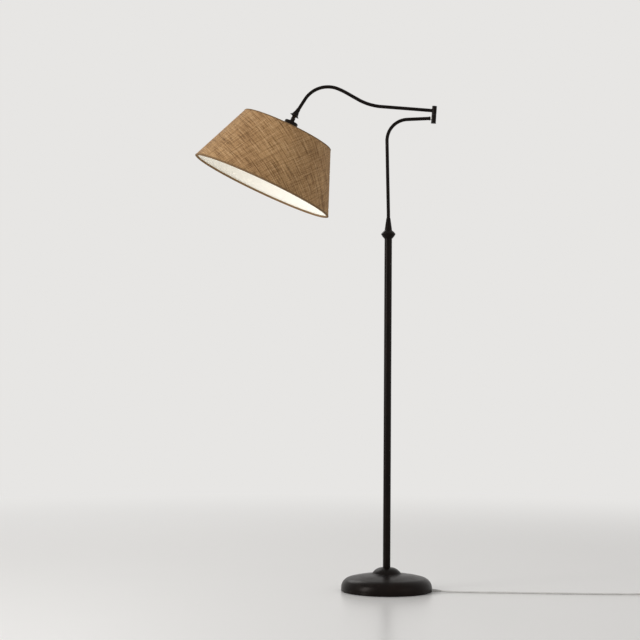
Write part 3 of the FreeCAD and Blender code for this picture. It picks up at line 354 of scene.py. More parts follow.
def fillWeave(tree, given):
    # u and v are counted in threads; each thread has its own tone and, along its length, thick and thin places;
    # the thread on top changes from one crossing to the next, and its height is a sine bump across it;
    # streaks are noise drawn out along the threads, some threads wide
    across = put(tree, "SeparateXYZ", {0: given["Map"]}).outputs
    shift = ramp(tree, noise(tree, given["Map"], 55.0), 0.0, 1.0, -0.9, 0.9)
    heights, tones, counts, streaks = [], [], [], []
    for a, b in (("X", "Y"), ("Y", "X")):
        threads = sums(tree, "ADD", sums(tree, "DIVIDE", across[a], given["Pitch"]), shift)
        index = sums(tree, "FLOOR", threads)
        spot = put(tree, "CombineXYZ", {"X": times(tree, across[b], given["SlubsPerMetre"]),
                                        "Y": times(tree, index, 3.71)}).outputs[0]
        slub = noise(tree, spot, 1.0, 2.0, 0.55, noise_dimensions="2D")
        own = put(tree, "TexWhiteNoise", {"W": index}, noise_dimensions="1D").outputs[0]
        bow = sums(tree, "SINE", times(tree, sums(tree, "FRACT", threads), pi))
        heights.append(times(tree, bow, ramp(tree, slub, 0.3, 0.75, 0.45, 1.25)))
        tones.append(sums(tree, "MULTIPLY_ADD", own, 0.45, times(tree, slub, 0.75)))
        counts.append(index)
        drawn = put(tree, "CombineXYZ", {"X": times(tree, threads, given["StreakWidth"]),
                                         "Y": times(tree, across[b], 14.0), "Z": 7.3 * len(counts)}).outputs[0]
        streaks.append(noise(tree, drawn, 1.0, 3.0, 0.7))
    odd = sums(tree, "PINGPONG", sums(tree, "ADD", *counts), 1.0)
    first = sums(tree, "MULTIPLY_ADD", odd, 0.35, heights[0])
    second = sums(tree, "MULTIPLY_ADD", sums(tree, "SUBTRACT", 1.0, odd), 0.35, heights[1])
    height = sums(tree, "MAXIMUM", first, second)
    onTop = sums(tree, "GREATER_THAN", first, second)
    tone = put(tree, "Mix", {0: onTop, 2: tones[1], 3: tones[0]}).outputs[0]
    # GapShade is high in the hollows between the threads; the materials darken it as painted shade
    return {"Height": height, "Tone": tone, "GapShade": ramp(tree, height, 0.35, 0.8, 1.0, 0.0),
            "LongStreak": streaks[0], "CrossStreak": streaks[1]}


def fillDust(tree, given):
    # lint and settled dust: thicker on what faces up, broken by noise
    up = put(tree, "SeparateXYZ", {0: put(tree, "NewGeometry").outputs["Normal"]}).outputs["Z"]
    broken = ramp(tree, noise(tree, given["Place"], 38.0, 6.0, 0.7), 0.4, 0.75)
    return {"Mask": times(tree, times(tree, ramp(tree, up, 0.1, 1.0), broken), given["Amount"])}


patina = group("patina", fillPatina, ["Cloud", "Speck", "Height"], Place=None, Size=20.0)
weave = group("weave", fillWeave, ["Height", "Tone", "GapShade", "LongStreak", "CrossStreak"], Map=None, Pitch=0.001,
              SlubsPerMetre=30.0, StreakWidth=0.4)
dust = group("dust", fillDust, ["Mask"], Place=None, Amount=0.2)


def begin(name, **constants):
    # a new material; what is the same all over goes on the shader's own sockets
    material = bpy.data.materials.new(name)
    material.use_nodes = True
    tree = material.node_tree
    for label, value in constants.items():
        tree.nodes["Principled BSDF"].inputs[label].default_value = value
    return material, tree, put(tree, "TexCoord").outputs


def feed(tree, colour, height=None, strength=0.0, distance=0.0003, **more):
    # what varies goes into the shader, the height as a bump
    more["Base Color"] = colour
    if height is not None:
        bump = put(tree, "Bump", {"Height": height, "Strength": strength, "Distance": distance})
        more["Normal"] = bump.outputs[0]
    for label, socket in more.items():
        tree.links.new(socket, tree.nodes["Principled BSDF"].inputs[label])


def bronzeMaterial():
    look = Values(deep=(0.0020, 0.0014, 0.0013), brown=(0.0062, 0.0036, 0.0027), worn=(0.034, 0.021, 0.015),
                  wear=0.35, dust=(0.30, 0.28, 0.26), roughLow=0.26, roughHigh=0.38)
    material, tree, at = begin("antiqueBronze", **{"Metallic": 0.0, "Specular IOR Level": 0.10,
                                                   "Specular Tint": (1.0, 0.90, 0.84, 1.0)})
    old = shared(tree, patina, Place=at["Object"], Size=22.0)
    dusty = shared(tree, dust, Place=at["Object"], Amount=0.022)
    edge = ramp(tree, put(tree, "NewGeometry").outputs["Pointiness"], 0.53, 0.62)
    colour = blend(tree, old["Cloud"], look.deep, look.brown)
    colour = blend(tree, times(tree, edge, look.wear), colour, look.worn)
    colour = blend(tree, dusty["Mask"], colour, look.dust)
    rough = ramp(tree, old["Cloud"], 0.0, 1.0, look.roughLow, look.roughHigh)
    feed(tree, colour, old["Height"], 0.04, Roughness=sums(tree, "MULTIPLY_ADD", old["Speck"], 0.12, rough))
    return material


def plainMetal(name, colour, rough, metallic=1.0):
    # a machined or plated metal: streaks round the piece and slight clouding
    material, tree, at = begin(name, Metallic=metallic)
    old = shared(tree, patina, Place=at["Object"], Size=60.0)
    flat = put(tree, "Mapping", {"Vector": at["Object"], "Scale": (1.0, 1.0, 40.0)}).outputs[0]
    lines = noise(tree, flat, 45.0, 3.0)
    tone = sums(tree, "MULTIPLY_ADD", old["Cloud"], 0.22, 0.80)
    dull = put(tree, "CombineColor", {0: tone, 1: tone, 2: tone}).outputs[0]
    feed(tree, blend(tree, 1.0, colour, dull, "MULTIPLY"), lines, 0.08,
         Roughness=ramp(tree, lines, 0.2, 0.8, rough * 0.8, rough * 1.4))
    return material


def plainPlastic(name, colour, rough, **constants):
    # moulded or painted: faint grain, slight clouding of the gloss, a little dust
    material, tree, at = begin(name, **constants)
    old = shared(tree, patina, Place=at["Object"], Size=20.0)
    dusty = shared(tree, dust, Place=at["Object"], Amount=0.06)
    shaded = blend(tree, times(tree, old["Cloud"], 0.5), colour, tuple(value * 0.86 for value in colour))
    feed(tree, blend(tree, dusty["Mask"], shaded, (0.42, 0.40, 0.37)), old["Height"], 0.06,
         Roughness=ramp(tree, old["Cloud"], 0.0, 1.0, rough, rough + 0.10))
    return material


def burlapMaterial():
    look = Values(light=(0.60, 0.365, 0.168), middle=(0.385, 0.212, 0.088), dark=(0.135, 0.066, 0.026),
                  pale=(0.74, 0.50, 0.27), aged=(0.29, 0.155, 0.068), pitch=0.00125, slubs=30.0, streakWidth=0.42,
                  longStreaks=0.80, crossStreaks=0.45)
    material, tree, at = begin("burlap", **{"Roughness": 0.92, "Specular IOR Level": 0.12, "Sheen Weight": 0.06,
                                            "Sheen Roughness": 0.5})
    threads = shared(tree, weave, Map=at["UV"], Pitch=look.pitch, SlubsPerMetre=look.slubs,
                     StreakWidth=look.streakWidth)
    tone = ramp(tree, threads["Tone"], 0.28, 0.88)
    colour = blend(tree, tone, look.middle, look.light)
    colour = blend(tree, ramp(tree, tone, 0.30, 0.0), colour, look.dark)
    # painted shade: the gaps between the threads are darkened
    colour = blend(tree, times(tree, threads["GapShade"], 0.75), colour, look.dark)
    clouds = ramp(tree, noise(tree, at["Object"], 9.0, 3.0), 0.35, 0.7, 0.0, 0.25)
    colour = blend(tree, clouds, colour, look.aged)
    for streak, strength in ((threads["LongStreak"], look.longStreaks),
                             (threads["CrossStreak"], look.crossStreaks)):
        colour = blend(tree, ramp(tree, streak, 0.47, 0.36, 0.0, strength), colour, look.dark)
        colour = blend(tree, ramp(tree, streak, 0.56, 0.68, 0.0, strength * 0.7), colour, look.pale)
    feed(tree, colour, threads["Height"], 0.7, 0.0006)
    return material


def clothMaterial(name, colour, dark, pitch, bump, **constants):
    # a finer even weave than the cover's
    material, tree, at = begin(name, **{"Roughness": 0.85, "Specular IOR Level": 0.2, **constants})
    threads = shared(tree, weave, Map=at["UV"], Pitch=pitch, SlubsPerMetre=60.0)
    toned = blend(tree, ramp(tree, threads["Tone"], 0.25, 0.95), dark, colour)
    # painted shade: the gaps between the threads are darkened a little
    feed(tree, blend(tree, times(tree, threads["GapShade"], 0.4), toned, dark), threads["Height"], bump)
    return material


def paintedGlowLiningMaterial():
    # white cloth with a painted glow: a faint warm emission stands in for the light of the lit bulb behind it
    material = clothMaterial("shadeLiningPaintedGlow", (0.90, 0.885, 0.855), (0.80, 0.785, 0.75), 0.0006, 0.04,
                             **{"Emission Color": (1.0, 0.93, 0.68, 1.0), "Emission Strength": 0.16})
    material.cycles.emission_sampling = "NONE"
    return material


def feltMaterial():
    material, tree, at = begin("padFelt", **{"Roughness": 0.95, "Sheen Weight": 0.4})
    fibres = noise(tree, at["Object"], 700.0, 5.0, distortion=1.5)
    feed(tree, blend(tree, fibres, (0.030, 0.024, 0.020), (0.085, 0.070, 0.060)), fibres, 0.6, 0.0008)
    return material


def glassMaterial():
    # a white coated bulb that is switched on low
    material, tree, at = begin("bulbGlass", **{"Roughness": 0.22, "Coat Weight": 0.4, "Coat Roughness": 0.1,
                                               "Emission Strength": 3.0})
    clouds = noise(tree, at["Object"], 40.0)
    feed(tree, blend(tree, clouds, (0.90, 0.88, 0.83), (0.95, 0.94, 0.91)),
         **{"Emission Color": blend(tree, clouds, (1.0, 0.84, 0.64), (1.0, 0.88, 0.70))})
    return material


def cordMaterial():
    material, tree, at = begin("cordJacket", **{"Coat Weight": 0.25, "Coat Roughness": 0.25})
    old = shared(tree, patina, Place=at["Object"], Size=30.0)
    feed(tree, blend(tree, old["Cloud"], (0.60, 0.59, 0.565), (0.69, 0.68, 0.655)), old["Height"], 0.05,
         Roughness=ramp(tree, old["Speck"], 0.0, 1.0, 0.38, 0.5))
    return material


slotMaterials = {
    "bronze_finish": bronzeMaterial(),
    "shade_weave": burlapMaterial(),
    "shade_binding": clothMaterial("bindingTape", (0.30, 0.185, 0.088), (0.120, 0.068, 0.030), 0.0005, 0.5),
    "shade_lining": paintedGlowLiningMaterial(),
    "pad_felt": feltMaterial(),
    "bulb_glass": glassMaterial(),
    "cord_jacket": cordMaterial(),
    "zinc_steel": plainMetal("zincSteel", (0.52, 0.50, 0.47), 0.32),
    "bright_neck": plainMetal("brightNeck", (0.86, 0.84, 0.81), 0.14),
    "shell_brass": plainMetal("shellBrass", (0.78, 0.62, 0.32), 0.26),
    "blade_metal": plainMetal("bladeBrass", (0.80, 0.68, 0.42), 0.20),
    "weight_iron": plainMetal("castIron", (0.13, 0.13, 0.135), 0.62, metallic=0.6),
    "shade_wire": plainPlastic("wireCoat", (0.62, 0.60, 0.56), 0.42),
    "socket_phenolic": plainPlastic("phenolic", (0.022, 0.019, 0.017), 0.28,
                                    **{"Coat Weight": 0.3, "Coat Roughness": 0.2}),
    "socket_ceramic": plainPlastic("socketCeramic", (0.80, 0.78, 0.74), 0.40),
    "friction_washer": plainPlastic("nylonWasher", (0.03, 0.03, 0.03), 0.36),
    "lead_jacket": plainPlastic("leadJacket", (0.70, 0.68, 0.63), 0.45),
    "relief_rubber": plainPlastic("reliefRubber", (0.52, 0.51, 0.49), 0.55),
    "tie_band": plainPlastic("tieBand", (0.045, 0.045, 0.045), 0.5),
}
plugPlastic = plainPlastic("plugPlastic", (0.52, 0.505, 0.48), 0.42)
for node, slotName in slotOf.items():   # every solid that stays gets its slot's finish
    for slot in nodes[node].material_slots:
        slot.material = slotMaterials[slotName]
print("materials made")


# Cord, coil and plug

cordRoute = Values(
    diameter=0.005, angle=-8.5, baseRadius=0.1365, reliefHeight=0.0056, reliefLength=0.028,
    reliefDrop=0.0016, coilRadius=0.0375, coilPitch=0.00555, coilHalfTurns=12, coilX=0.812,
    coilLift=0.0008, coilEntryY=-0.0613, pointsPerHalfTurn=8, length=1.79,
    points=[
        (0.1745, -0.0261, 0.0033), (0.1970, -0.0287, 0.0027), (0.2350, -0.0319, 0.0026),
        (0.2880, -0.0356, 0.0026), (0.3460, -0.0392, 0.0026), (0.4060, -0.0433, 0.0026),
        (0.4660, -0.0481, 0.0026), (0.5300, -0.0527, 0.0026), (0.5920, -0.0564, 0.0026),
        (0.6520, -0.0590, 0.0026), (0.7120, -0.0606, 0.0028), (0.7640, -0.0613, 0.0033),
    ],
    tail=[(0.012, 0.0, 0.0), (0.024, -0.0017, -0.0013), (0.037, -0.0050, -0.0013)])
reliefLean = 90 + degrees(atan2(cordRoute.reliefDrop, cordRoute.reliefLength))
reliefPlace = leaning((cordRoute.baseRadius, 0, cordRoute.reliefHeight), reliefLean)


def atCordAngle(points):
    return turnedAboutZ(points, cordRoute.angle)


def coilTurns():
    # half circles about centres that step from side to side, spiralling in on the floor, then out on top;
    # a point is centre + radius (sin t, -cos t), and one half turn climbs from the low to the high layer
    c = cordRoute
    t = np.linspace(0, pi, c.pointsPerHalfTurn, endpoint=False)
    grow = 1 / (0.75 + 0.25 * cos(pi / len(t)))   # the spline runs inside its points by this much
    climb = c.coilHalfTurns // 2
    y, low = c.coilEntryY, c.diameter / 2 + c.coilLift
    rows = []
    for n in range(c.coilHalfTurns):
        radius = c.coilRadius - min(n, c.coilHalfTurns - n) * c.coilPitch / 2
        side = 1 - 2 * (n % 2)
        level = (n == climb) * (1 - np.cos(t)) / 2 + (n > climb)
        rows.append(np.stack([c.coilX + side * radius * grow * np.sin(t),
                              y + side * radius * (1 - grow * np.cos(t)), low + c.coilPitch * level], -1))
        y += side * 2 * radius
    return np.concatenate(rows + [[(c.coilX, y, low + c.coilPitch)]])


def smoothLine(name, points, radius):
    # an open NURBS curve of order 3 with these control points and a round section
    data = bpy.data.curves.new(name, "CURVE")
    data.dimensions = "3D"
    data.bevel_depth = radius
    data.bevel_resolution = 3
    data.resolution_u = 8
    data.use_fill_caps = True
    spline = data.splines.new("NURBS")
    spline.points.add(len(points) - 1)
    spline.points.foreach_set("co", np.concatenate([points, np.ones((len(points), 1))], 1).ravel())
    spline.order_u = 3
    spline.use_endpoint_u = True
    return addObject(name, data)


cordExit = atCordAngle(moved(np.array([[0, 0, cordRoute.reliefLength]]), reliefPlace))
turns = coilTurns()
stretch = np.array([[cordRoute.diameter, 0, 0]])   # a short straight stretch on each side of the coil
tail = turns[-1:] + stretch + np.array(cordRoute.tail)
cordPoints = np.concatenate([cordExit, cordRoute.points, turns[:1] - stretch, turns, tail])
cord = dress(smoothLine("cordJacketLine", cordPoints, cordRoute.diameter / 2), "cord_run", "cord_coil",
             "cord_tail")

boot = Values(flange=0.007, flangeThick=0.0018, wallGap=0.0024, neck=0.0044, foot=0.0049, tip=0.0031, rings=5,
              ringDepth=0.0005, overFloor=0.0004)


def reliefBoot():
    # a cone from foot to tip whose radius dips by ringDepth ((1 - cos)/2)^2 between its rings, with a flange inside
    # the base's wall
    b = boot
    t = np.linspace(0, 1, 90)
    wave = (1 - np.cos(2 * pi * b.rings * t)) / 2
    radius = b.foot + (b.tip - b.foot) * t - b.ringDepth * wave ** 2 * (t < 0.995)
    inside = -b.wallGap
    back = inside - b.flangeThick
    flange = rounded([(0, back), (b.flange, back, softEdge), (b.flange, inside, softEdge), (b.neck, inside),
                      (b.neck, 0)], closed=False)
    outline = np.concatenate([flange, np.stack([radius, t * cordRoute.reliefLength], -1),
                              [(0, cordRoute.reliefLength)]])
    grid = atCordAngle(moved(latheGrid(outline, 48), reliefPlace))
    grid[..., 2] = np.maximum(grid[..., 2], b.overFloor)
    return dress(addGrid("reliefBoot", grid, closed=False), "strain_relief")


plugShape = Values(length=0.030, width=0.022, thick=0.015, neckWidth=0.0085, growRun=0.012, ribs=5, ribDepth=0.0006,
                   ribStart=0.013, ribRun=0.011, edge=0.0006, endRun=0.0015)


def plugPlace(points):
    # the plug's own x goes along the last stretch of the tail, from the tail's end
    way = tail[-1] - tail[-2]
    return turnedAboutZ(points, degrees(atan2(way[1], way[0]))) + tail[-1]


def plugBody():
    # rounded rectangles of power 4 along x: width and thickness grow from the neck to the body as a smooth
    # step, and shallow ribs cross the grip
    p = plugShape
    x = np.concatenate([[0, 0, p.edge], np.linspace(p.endRun, p.length - p.endRun, 60),
                        [p.length - p.edge, p.length, p.length]])
    size = np.ones(len(x))
    size[:3] = size[:-4:-1] = (0.0, 0.90, 0.97)
    t = np.clip(x / p.growRun, 0, 1)
    half, tall = ((p.neckWidth + (p[k] - p.neckWidth) * t * t * (3 - 2 * t)) / 2 for k in ("width", "thick"))
    grip = (x - p.ribStart) / p.ribRun
    ribs = np.clip(np.sin(grip * pi), 0, 1) ** 0.5 * ((grip > 0) & (grip < 1))
    dip = p.ribDepth * ribs * (1 - np.cos(2 * pi * p.ribs * grip)) / 2
    c, s = np.cos(around(64)), np.sin(around(64))
    reach = (np.abs(c) ** 4 + np.abs(s) ** 4) ** -0.25
    y = (half * size - dip * (size == 1))[:, None] * (c * reach)
    grid = np.stack([x[:, None] + 0 * y, y, (tall * size)[:, None] * (s * reach)], -1)
    piece = addGrid("plugBody", plugPlace(grid), closed=False, sharp=50)
    return dress(piece, "plug_body", material=plugPlastic)


tieShape = Values(thick=0.00045, width=0.009, slack=0.0003)


def tieBand():
    # a band that follows the outline of the bundle of turns, round four rounded corners
    c, s = cordRoute, tieShape
    r = c.diameter / 2
    clear = r + s.slack
    y, z = c.coilEntryY + 2 * c.coilRadius, r + c.coilLift
    low = np.array([y - c.coilHalfTurns // 2 * c.coilPitch / 2 - clear, z - clear])
    high = np.array([y + clear, z + c.coilPitch + clear])
    inner = rounded([(*low, r), (high[0], low[1], r), (*high, r), (low[0], high[1], r)], steps=10)
    outer = inner.mean(0) + (inner - inner.mean(0)) * (1 + s.thick / ((high - low) / 2))
    mid = (inner + outer) / 2
    rows = [(-0.5, mid), (-0.47, outer), (0.47, outer), (0.5, mid), (0.47, inner), (-0.47, inner)]
    grid = np.stack([np.insert(line, 0, c.coilX + share * s.width, axis=1) for share, line in rows])
    return dress(addGrid("tieBand", grid), "cord_tie")


relief, plug, tie = reliefBoot(), plugBody(), tieBand()
print("cord laid")


# Base

baseShape = Values(radius=cordRoute.baseRadius, wall=0.0015, rimLift=0.0015, wallTop=0.010, shoulder=0.032,
                   crown=0.430, crownOuter=14.0, crownInner=5.3, foot=0.008, hub=0.0378, hubSlope=55.0,
                   hole=0.0113, notch=0.0052, padRound=0.0008)


def domeOutline(inset, count):
    # the arcs of the shoulder, crown, hollow foot and hub; each centre lies on the line from the centre before it
    # through the point where the two arcs meet
    b = baseShape
    outer, inner, steep = (arcSpan((0, 0), 1, b[k], b[k], 1)[0] for k in ("crownOuter", "crownInner", "hubSlope"))
    shoulder = np.array([b.radius - b.shoulder, b.wallTop])
    crown = shoulder + (b.shoulder - b.crown) * outer
    foot = crown + (b.crown + b.foot) * inner
    hub = foot - (b.foot + b.hub) * steep
    holeSlope = degrees(asin((b.hole - hub[0]) / (b.hub - inset)))
    return np.concatenate([
        arcSpan(shoulder, b.shoulder - inset, 90, b.crownOuter, count),
        arcSpan(crown, b.crown - inset, b.crownOuter, b.crownInner, count)[1:],
        arcSpan(foot, -b.foot - inset, b.crownInner, b.hubSlope, count)[1:],
        arcSpan(hub, b.hub - inset, b.hubSlope, holeSlope, count)[1:],
    ])


def baseDome():
    # the outline turned about Z; under wallTop each column is squeezed up to the notch's arch,
    # reliefHeight + sqrt(notch^2 - s^2), with s the way round from the cord's side
    b = baseShape
    rim = np.stack([b.radius - b.wall * np.array([1, 0.75, 0.25, 0]),
                    b.rimLift + softEdge * np.array([1, 0, 0, 1])], -1)
    wall = np.stack([np.full(4, b.radius), np.linspace(b.rimLift + 0.002, b.wallTop, 4, endpoint=False)], -1)
    outline = np.concatenate([rim, wall, domeOutline(0, 26), domeOutline(b.wall, 12)[::-1]])
    cordSide = radians(cordRoute.angle)
    near = cordSide + b.notch / b.radius * np.concatenate([[-1.001], np.linspace(-1, 1, 21), [1.001]])
    t = np.concatenate([near, np.linspace(near[-1], near[0] + 2 * pi, 182)[1:-1]])
    s = (t - cordSide) * b.radius
    arch = cordRoute.reliefHeight + np.sqrt(np.clip(b.notch ** 2 - s ** 2, 0, None))
    low = np.where(np.abs(s) <= b.notch * 1.00001, arch, b.rimLift)
    height = outline[:, 1:] + 0 * t
    squeezed = low + (height - b.rimLift) * (b.wallTop - low) / (b.wallTop - b.rimLift)
    grid = wheel(outline[:, :1], t, np.where(height < b.wallTop, squeezed, height))
    return dress(addGrid("baseDome", grid, sharp=40), "base_cover")


def basePad():
    low, high = span("base_pad")
    radius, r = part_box("base_pad")[1].x, baseShape.padRound
    lathe("basePadFelt", ring(0, radius, low, high, r), "base_pad", closed=False, count=128)


# Post, collar ring and cone nut

postShape = Values(radius=0.01125, wall=0.0012, edge=0.0003)
collarShape = Values(end=0.012, belt=0.0216, beltHeight=0.0144, land=0.0012, bulge=0.0006, crownBulge=0.0005,
                     bore=0.0052, edge=0.0006, beltRound=0.0005)
coneShape = Values(foot=0.0112, tip=0.00595, bulge=0.00015, bore=0.0052, edge=0.0005)


def postTube():
    low, high = span("post_tube")
    r, edge = postShape.radius, postShape.edge
    inner = r - postShape.wall
    lathe("postTube", ring(inner, r, low, high, edge), "post_tube", count=72)


def collarRing():
    # two bulged cones that meet in a narrow rounded belt
    c = collarShape
    low, high = span("collar_ring")
    beltLow = low + c.beltHeight - c.land / 2
    beltHigh, edge = beltLow + c.land, c.edge
    lathe("collarRing", np.concatenate([
        [(c.bore, low), (c.end - edge, low)],
        bulged((c.end, low + edge), (c.belt - 0.0002, beltLow - edge), -c.bulge),
        rounded([(c.belt - 0.0002, beltLow - edge), (c.belt, beltLow, c.beltRound),
                 (c.belt, beltHigh, c.beltRound), (c.belt - 0.0004, beltHigh + edge)], closed=False)[1:],
        bulged((c.belt - 0.0008, beltHigh + 2 * edge), (c.end, high - edge), -c.crownBulge, 10),
        [(c.end - edge, high), (c.bore, high)],
    ]), "collar_ring")


def coneNut():
    c = coneShape
    low, high = span("cone_nut")
    lathe("coneNut", np.concatenate([
        [(c.bore, low), (c.foot - c.edge, low)],
        bulged((c.foot, low + c.edge), (c.tip + 0.0001, high - c.edge), -c.bulge, 24),
        [(c.tip - c.edge / 2, high), (c.bore, high)],
    ]), "cone_nut", count=80)


baseDome()
basePad()
postTube()
collarRing()
coneNut()
print("base and post made")


# Arms and barrel

armPipe = Values(radius=0.00515, bore=0.00395)
lowerBends = Values(start=0.002, lean=("bend", 0.800, 1.4), riser=("run", 0.2091), bendRadius=0.0636, slope=2.8,
                    last=("run", 0.0687))
upperBends = [("run", 0.1594), ("bend", 0.1676, -25.1), ("run", 0.0386), ("bend", 0.2299, 7.2),
              ("bend", 0.0817, 79.8), ("run", 0.0410)]
barrelShape = Values(lean=3.6, radius=0.0072, half=0.0263, cap=0.0019, dome=0.0008, foot=0.0079, rise=0.0117,
                     upperSlope=4.19, chamber=0.0056, gap=0.00025, plug=0.0026,
                     round=0.0003, footRound=0.0006)

armBottom = span("lower_arm")[0]
rise = span("cone_nut")[1] + lowerBends.start - armBottom
turnDown = lowerBends.slope - 90 - lowerBends.lean[2]
lowerLine, lowerHeading = pipeLine((0, armBottom), 90, [("run", rise), lowerBends.lean, lowerBends.riser,
                                                        ("bend", lowerBends.bendRadius, turnDown),
                                                        lowerBends.last])
barrelPlace = leaning(joints["arm_swing"]["pos_m"], barrelShape.lean)
upperStart = barrelPlace.origin + barrelShape.rise * barrelPlace.up
upperLine, upperHeading = pipeLine(upperStart[[0, 2]], 180 - barrelShape.upperSlope, upperBends)
pipeEnd = leaning(upperLine[-1], 270 - upperHeading)


def armPipes():
    insideBarrel = 2   # the upper arm's first points lie inside the barrel's wall
    for name, line, node in (("lowerArmPipe", lowerLine, "lower_arm"),
                             ("upperArmPipe", upperLine[insideBarrel:], "upper_arm")):
        dress(sweepPipe(name, line, armPipe.radius, armPipe.bore), node)


def barrelPieces():
    # two knuckles, a wider foot and a domed cap, both with a plug that fits the chamber
    b = barrelShape
    r, half, inner, gap = b.radius, b.half, b.chamber, b.gap
    capLow = half - b.cap
    plugEnd = capLow - b.plug
    crown = bulged((r, half - b.dome), (0, half), -b.dome / 3)
    for name, outline, node, closed in (
        ("barrelLower", ring(inner, r, -capLow, -gap, b.round, softEdge), "barrel_lower_knuckle", True),
        ("barrelUpper", ring(inner, r, gap, capLow, softEdge, b.round), "barrel_upper_knuckle", True),
        ("barrelFootCap", rounded([(0, -half), (b.foot, -half, b.footRound), (b.foot, -capLow, b.footRound),
                                   (inner, -capLow), (inner, -plugEnd), (0, -plugEnd)], closed=False),
         "barrel_foot", False),
        ("barrelTopCap", np.concatenate([[(0, plugEnd), (inner, plugEnd), (inner, capLow), (r - 0.0002, capLow),
                                          (r, capLow + 0.0003)], crown]), "barrel_top_cap", False),
    ):
        lathe(name, outline, node, barrelPlace, closed, count=64)


def weldBead(fat=0.0011):
    # a thin collar of filler where the upper arm meets the barrel: a circle about the pipe, carried along with the
    # barrel's round so that each point lies on the barrel: depth = sqrt(R^2 - (r sin t)^2)
    big = barrelShape.radius
    angle = radians(180 - barrelShape.upperSlope)
    way = np.array([cos(angle), 0, sin(angle)])
    up = np.array([-sin(angle), 0, cos(angle)])
    t, a = around(48), around(12)[:, None]
    reach = armPipe.radius + fat * 0.35 * np.cos(a)
    depth = np.sqrt(big ** 2 - np.clip(reach * np.sin(t), -big * 0.98, big * 0.98) ** 2) + fat * 0.6 * np.sin(a)
    grid = (upperStart + depth[..., None] * way + (reach * np.cos(t))[..., None] * up
            + (reach * np.sin(t))[..., None] * ySide)
    dress(addGrid("upperArmWeld", grid), like="upper_arm")


def ferruleAndNeck():
    # a sleeve over the lower arm's end with a lip, and the bright tube that joins it to the barrel
    f = Values(radius=0.0059, length=0.0045, wall=0.00075, edge=0.0003, neck=0.0035, neckBore=0.0024,
               neckStart=-0.012, neckEnd=0.0052)
    end = leaning(lowerLine[-1], 90 - lowerHeading)
    back, lip, pipe = f.wall - f.length, f.wall, armPipe.radius
    lathe("armFerrule", rounded([(pipe, back), (f.radius, back, f.edge), (f.radius, lip, f.edge),
                                 (f.neck, lip), (f.neck, 0), (pipe, 0)]), "arm_ferrule", end, count=56)
    lathe("armNeck", ring(f.neckBore, f.neck, f.neckStart, f.neckEnd), "arm_neck", end, count=48)


armPipes()
barrelPieces()
ferruleAndNeck()
weldBead()
print("arms and barrel made")


# Swivel bell and socket cap

bellShape = Values(overlap=0.006, length=0.024, top=0.0064, rim=0.0145, wall=0.0011, flare=0.0056, shoulder=0.009,
                   rise=-0.0003)
capShape = Values(top=0.0190, height=0.0125, radius=0.0211, wall=0.0012, dome=0.0045, hole=0.0051, nut=0.0040,
                  seat=0.00002, lip=0.0026, lipOut=0.0003)
headPlace = leaning(joints["head_tilt"]["pos_m"], 24.5)


def swivelBell():
    # the flared outside from the pipe down to the rim, then the inside back up
    b = bellShape
    waist, rim, bore = b.rim - b.flare, b.overlap - b.length, armPipe.radius
    inside = (waist - b.wall, -b.shoulder - b.wall / 2)
    lathe("swivelBellCover", np.concatenate([
        [(bore, b.overlap), (b.top - softEdge, b.overlap), (b.top, b.overlap - softEdge)],
        bulged((b.top, 0), (waist, -b.shoulder), b.rise),
        bulged((waist, -b.shoulder), (b.rim, rim + 0.0006), -b.flare / 4)[1:],
        [(b.rim, rim + 0.0002), (b.rim - 0.0003, rim), (b.rim - b.wall, rim)],
        bulged((b.rim - b.wall, rim + 0.0004), inside, b.flare / 4),
        bulged(inside, (bore, -b.wall), -b.rise)[1:],
    ]), "swivel_bell", pipeEnd, count=72)


def socketCap():
    # a flat top, a round shoulder and a side that ends in a lip
    c = capShape
    top, low = -c.top, -c.top - c.height
    centre, lip, inner = (c.radius - c.dome, top - c.dome), c.radius + c.lipOut, c.radius - c.wall
    lathe("socketCapDome", np.concatenate([
        [(c.hole, top - c.wall), (c.hole, top)],
        arcSpan(centre, c.dome, 0, 90, 14),
        rounded([(c.radius, low + c.lip), (lip, low + 0.0020, softEdge), (lip, low, softEdge),
                 (inner, low, 0.0003), (inner, centre[1])], closed=False),
        arcSpan(centre, c.dome - c.wall, 90, 0, 10)[1:],
    ]), "socket_cap", headPlace)


swivelBell()
socketCap()


# Shade. Its own map is the flat pattern that the cloth is cut to, so the threads run straight across it.

shadeShape = Values(top=0.0467, height=0.1868, topRadius=0.1410, bottomRadius=0.2196, cover=0.0008, liner=0.0007,
                    trimHeight=0.0038, lipInside=0.0062, trimThick=0.0005, wire=0.0015, gap=0.00015,
                    threadTurn=34.0, liningTurn=20.0, bindingTurn=45.0, seamAt=90.0, seamWidth=0.009,
                    seamRise=0.0005, columns=288)
shadeSlope = atan2(shadeShape.bottomRadius - shadeShape.topRadius, shadeShape.height)
shadeSide = hypot(shadeShape.bottomRadius - shadeShape.topRadius, shadeShape.height)
wallDepth = shadeShape.cover + shadeShape.liner
wireDepth = wallDepth + shadeShape.gap + shadeShape.wire
wireIn = shadeShape.trimThick + shadeShape.gap + shadeShape.wire


def shadeRadiusHeight(along, outwards):
    # along the side from its bottom edge, and outwards square to it
    s = shadeShape
    radius = s.bottomRadius - along * sin(shadeSlope) + outwards * cos(shadeSlope)
    height = -s.top - s.height + along * cos(shadeSlope) + outwards * sin(shadeSlope)
    return radius, height


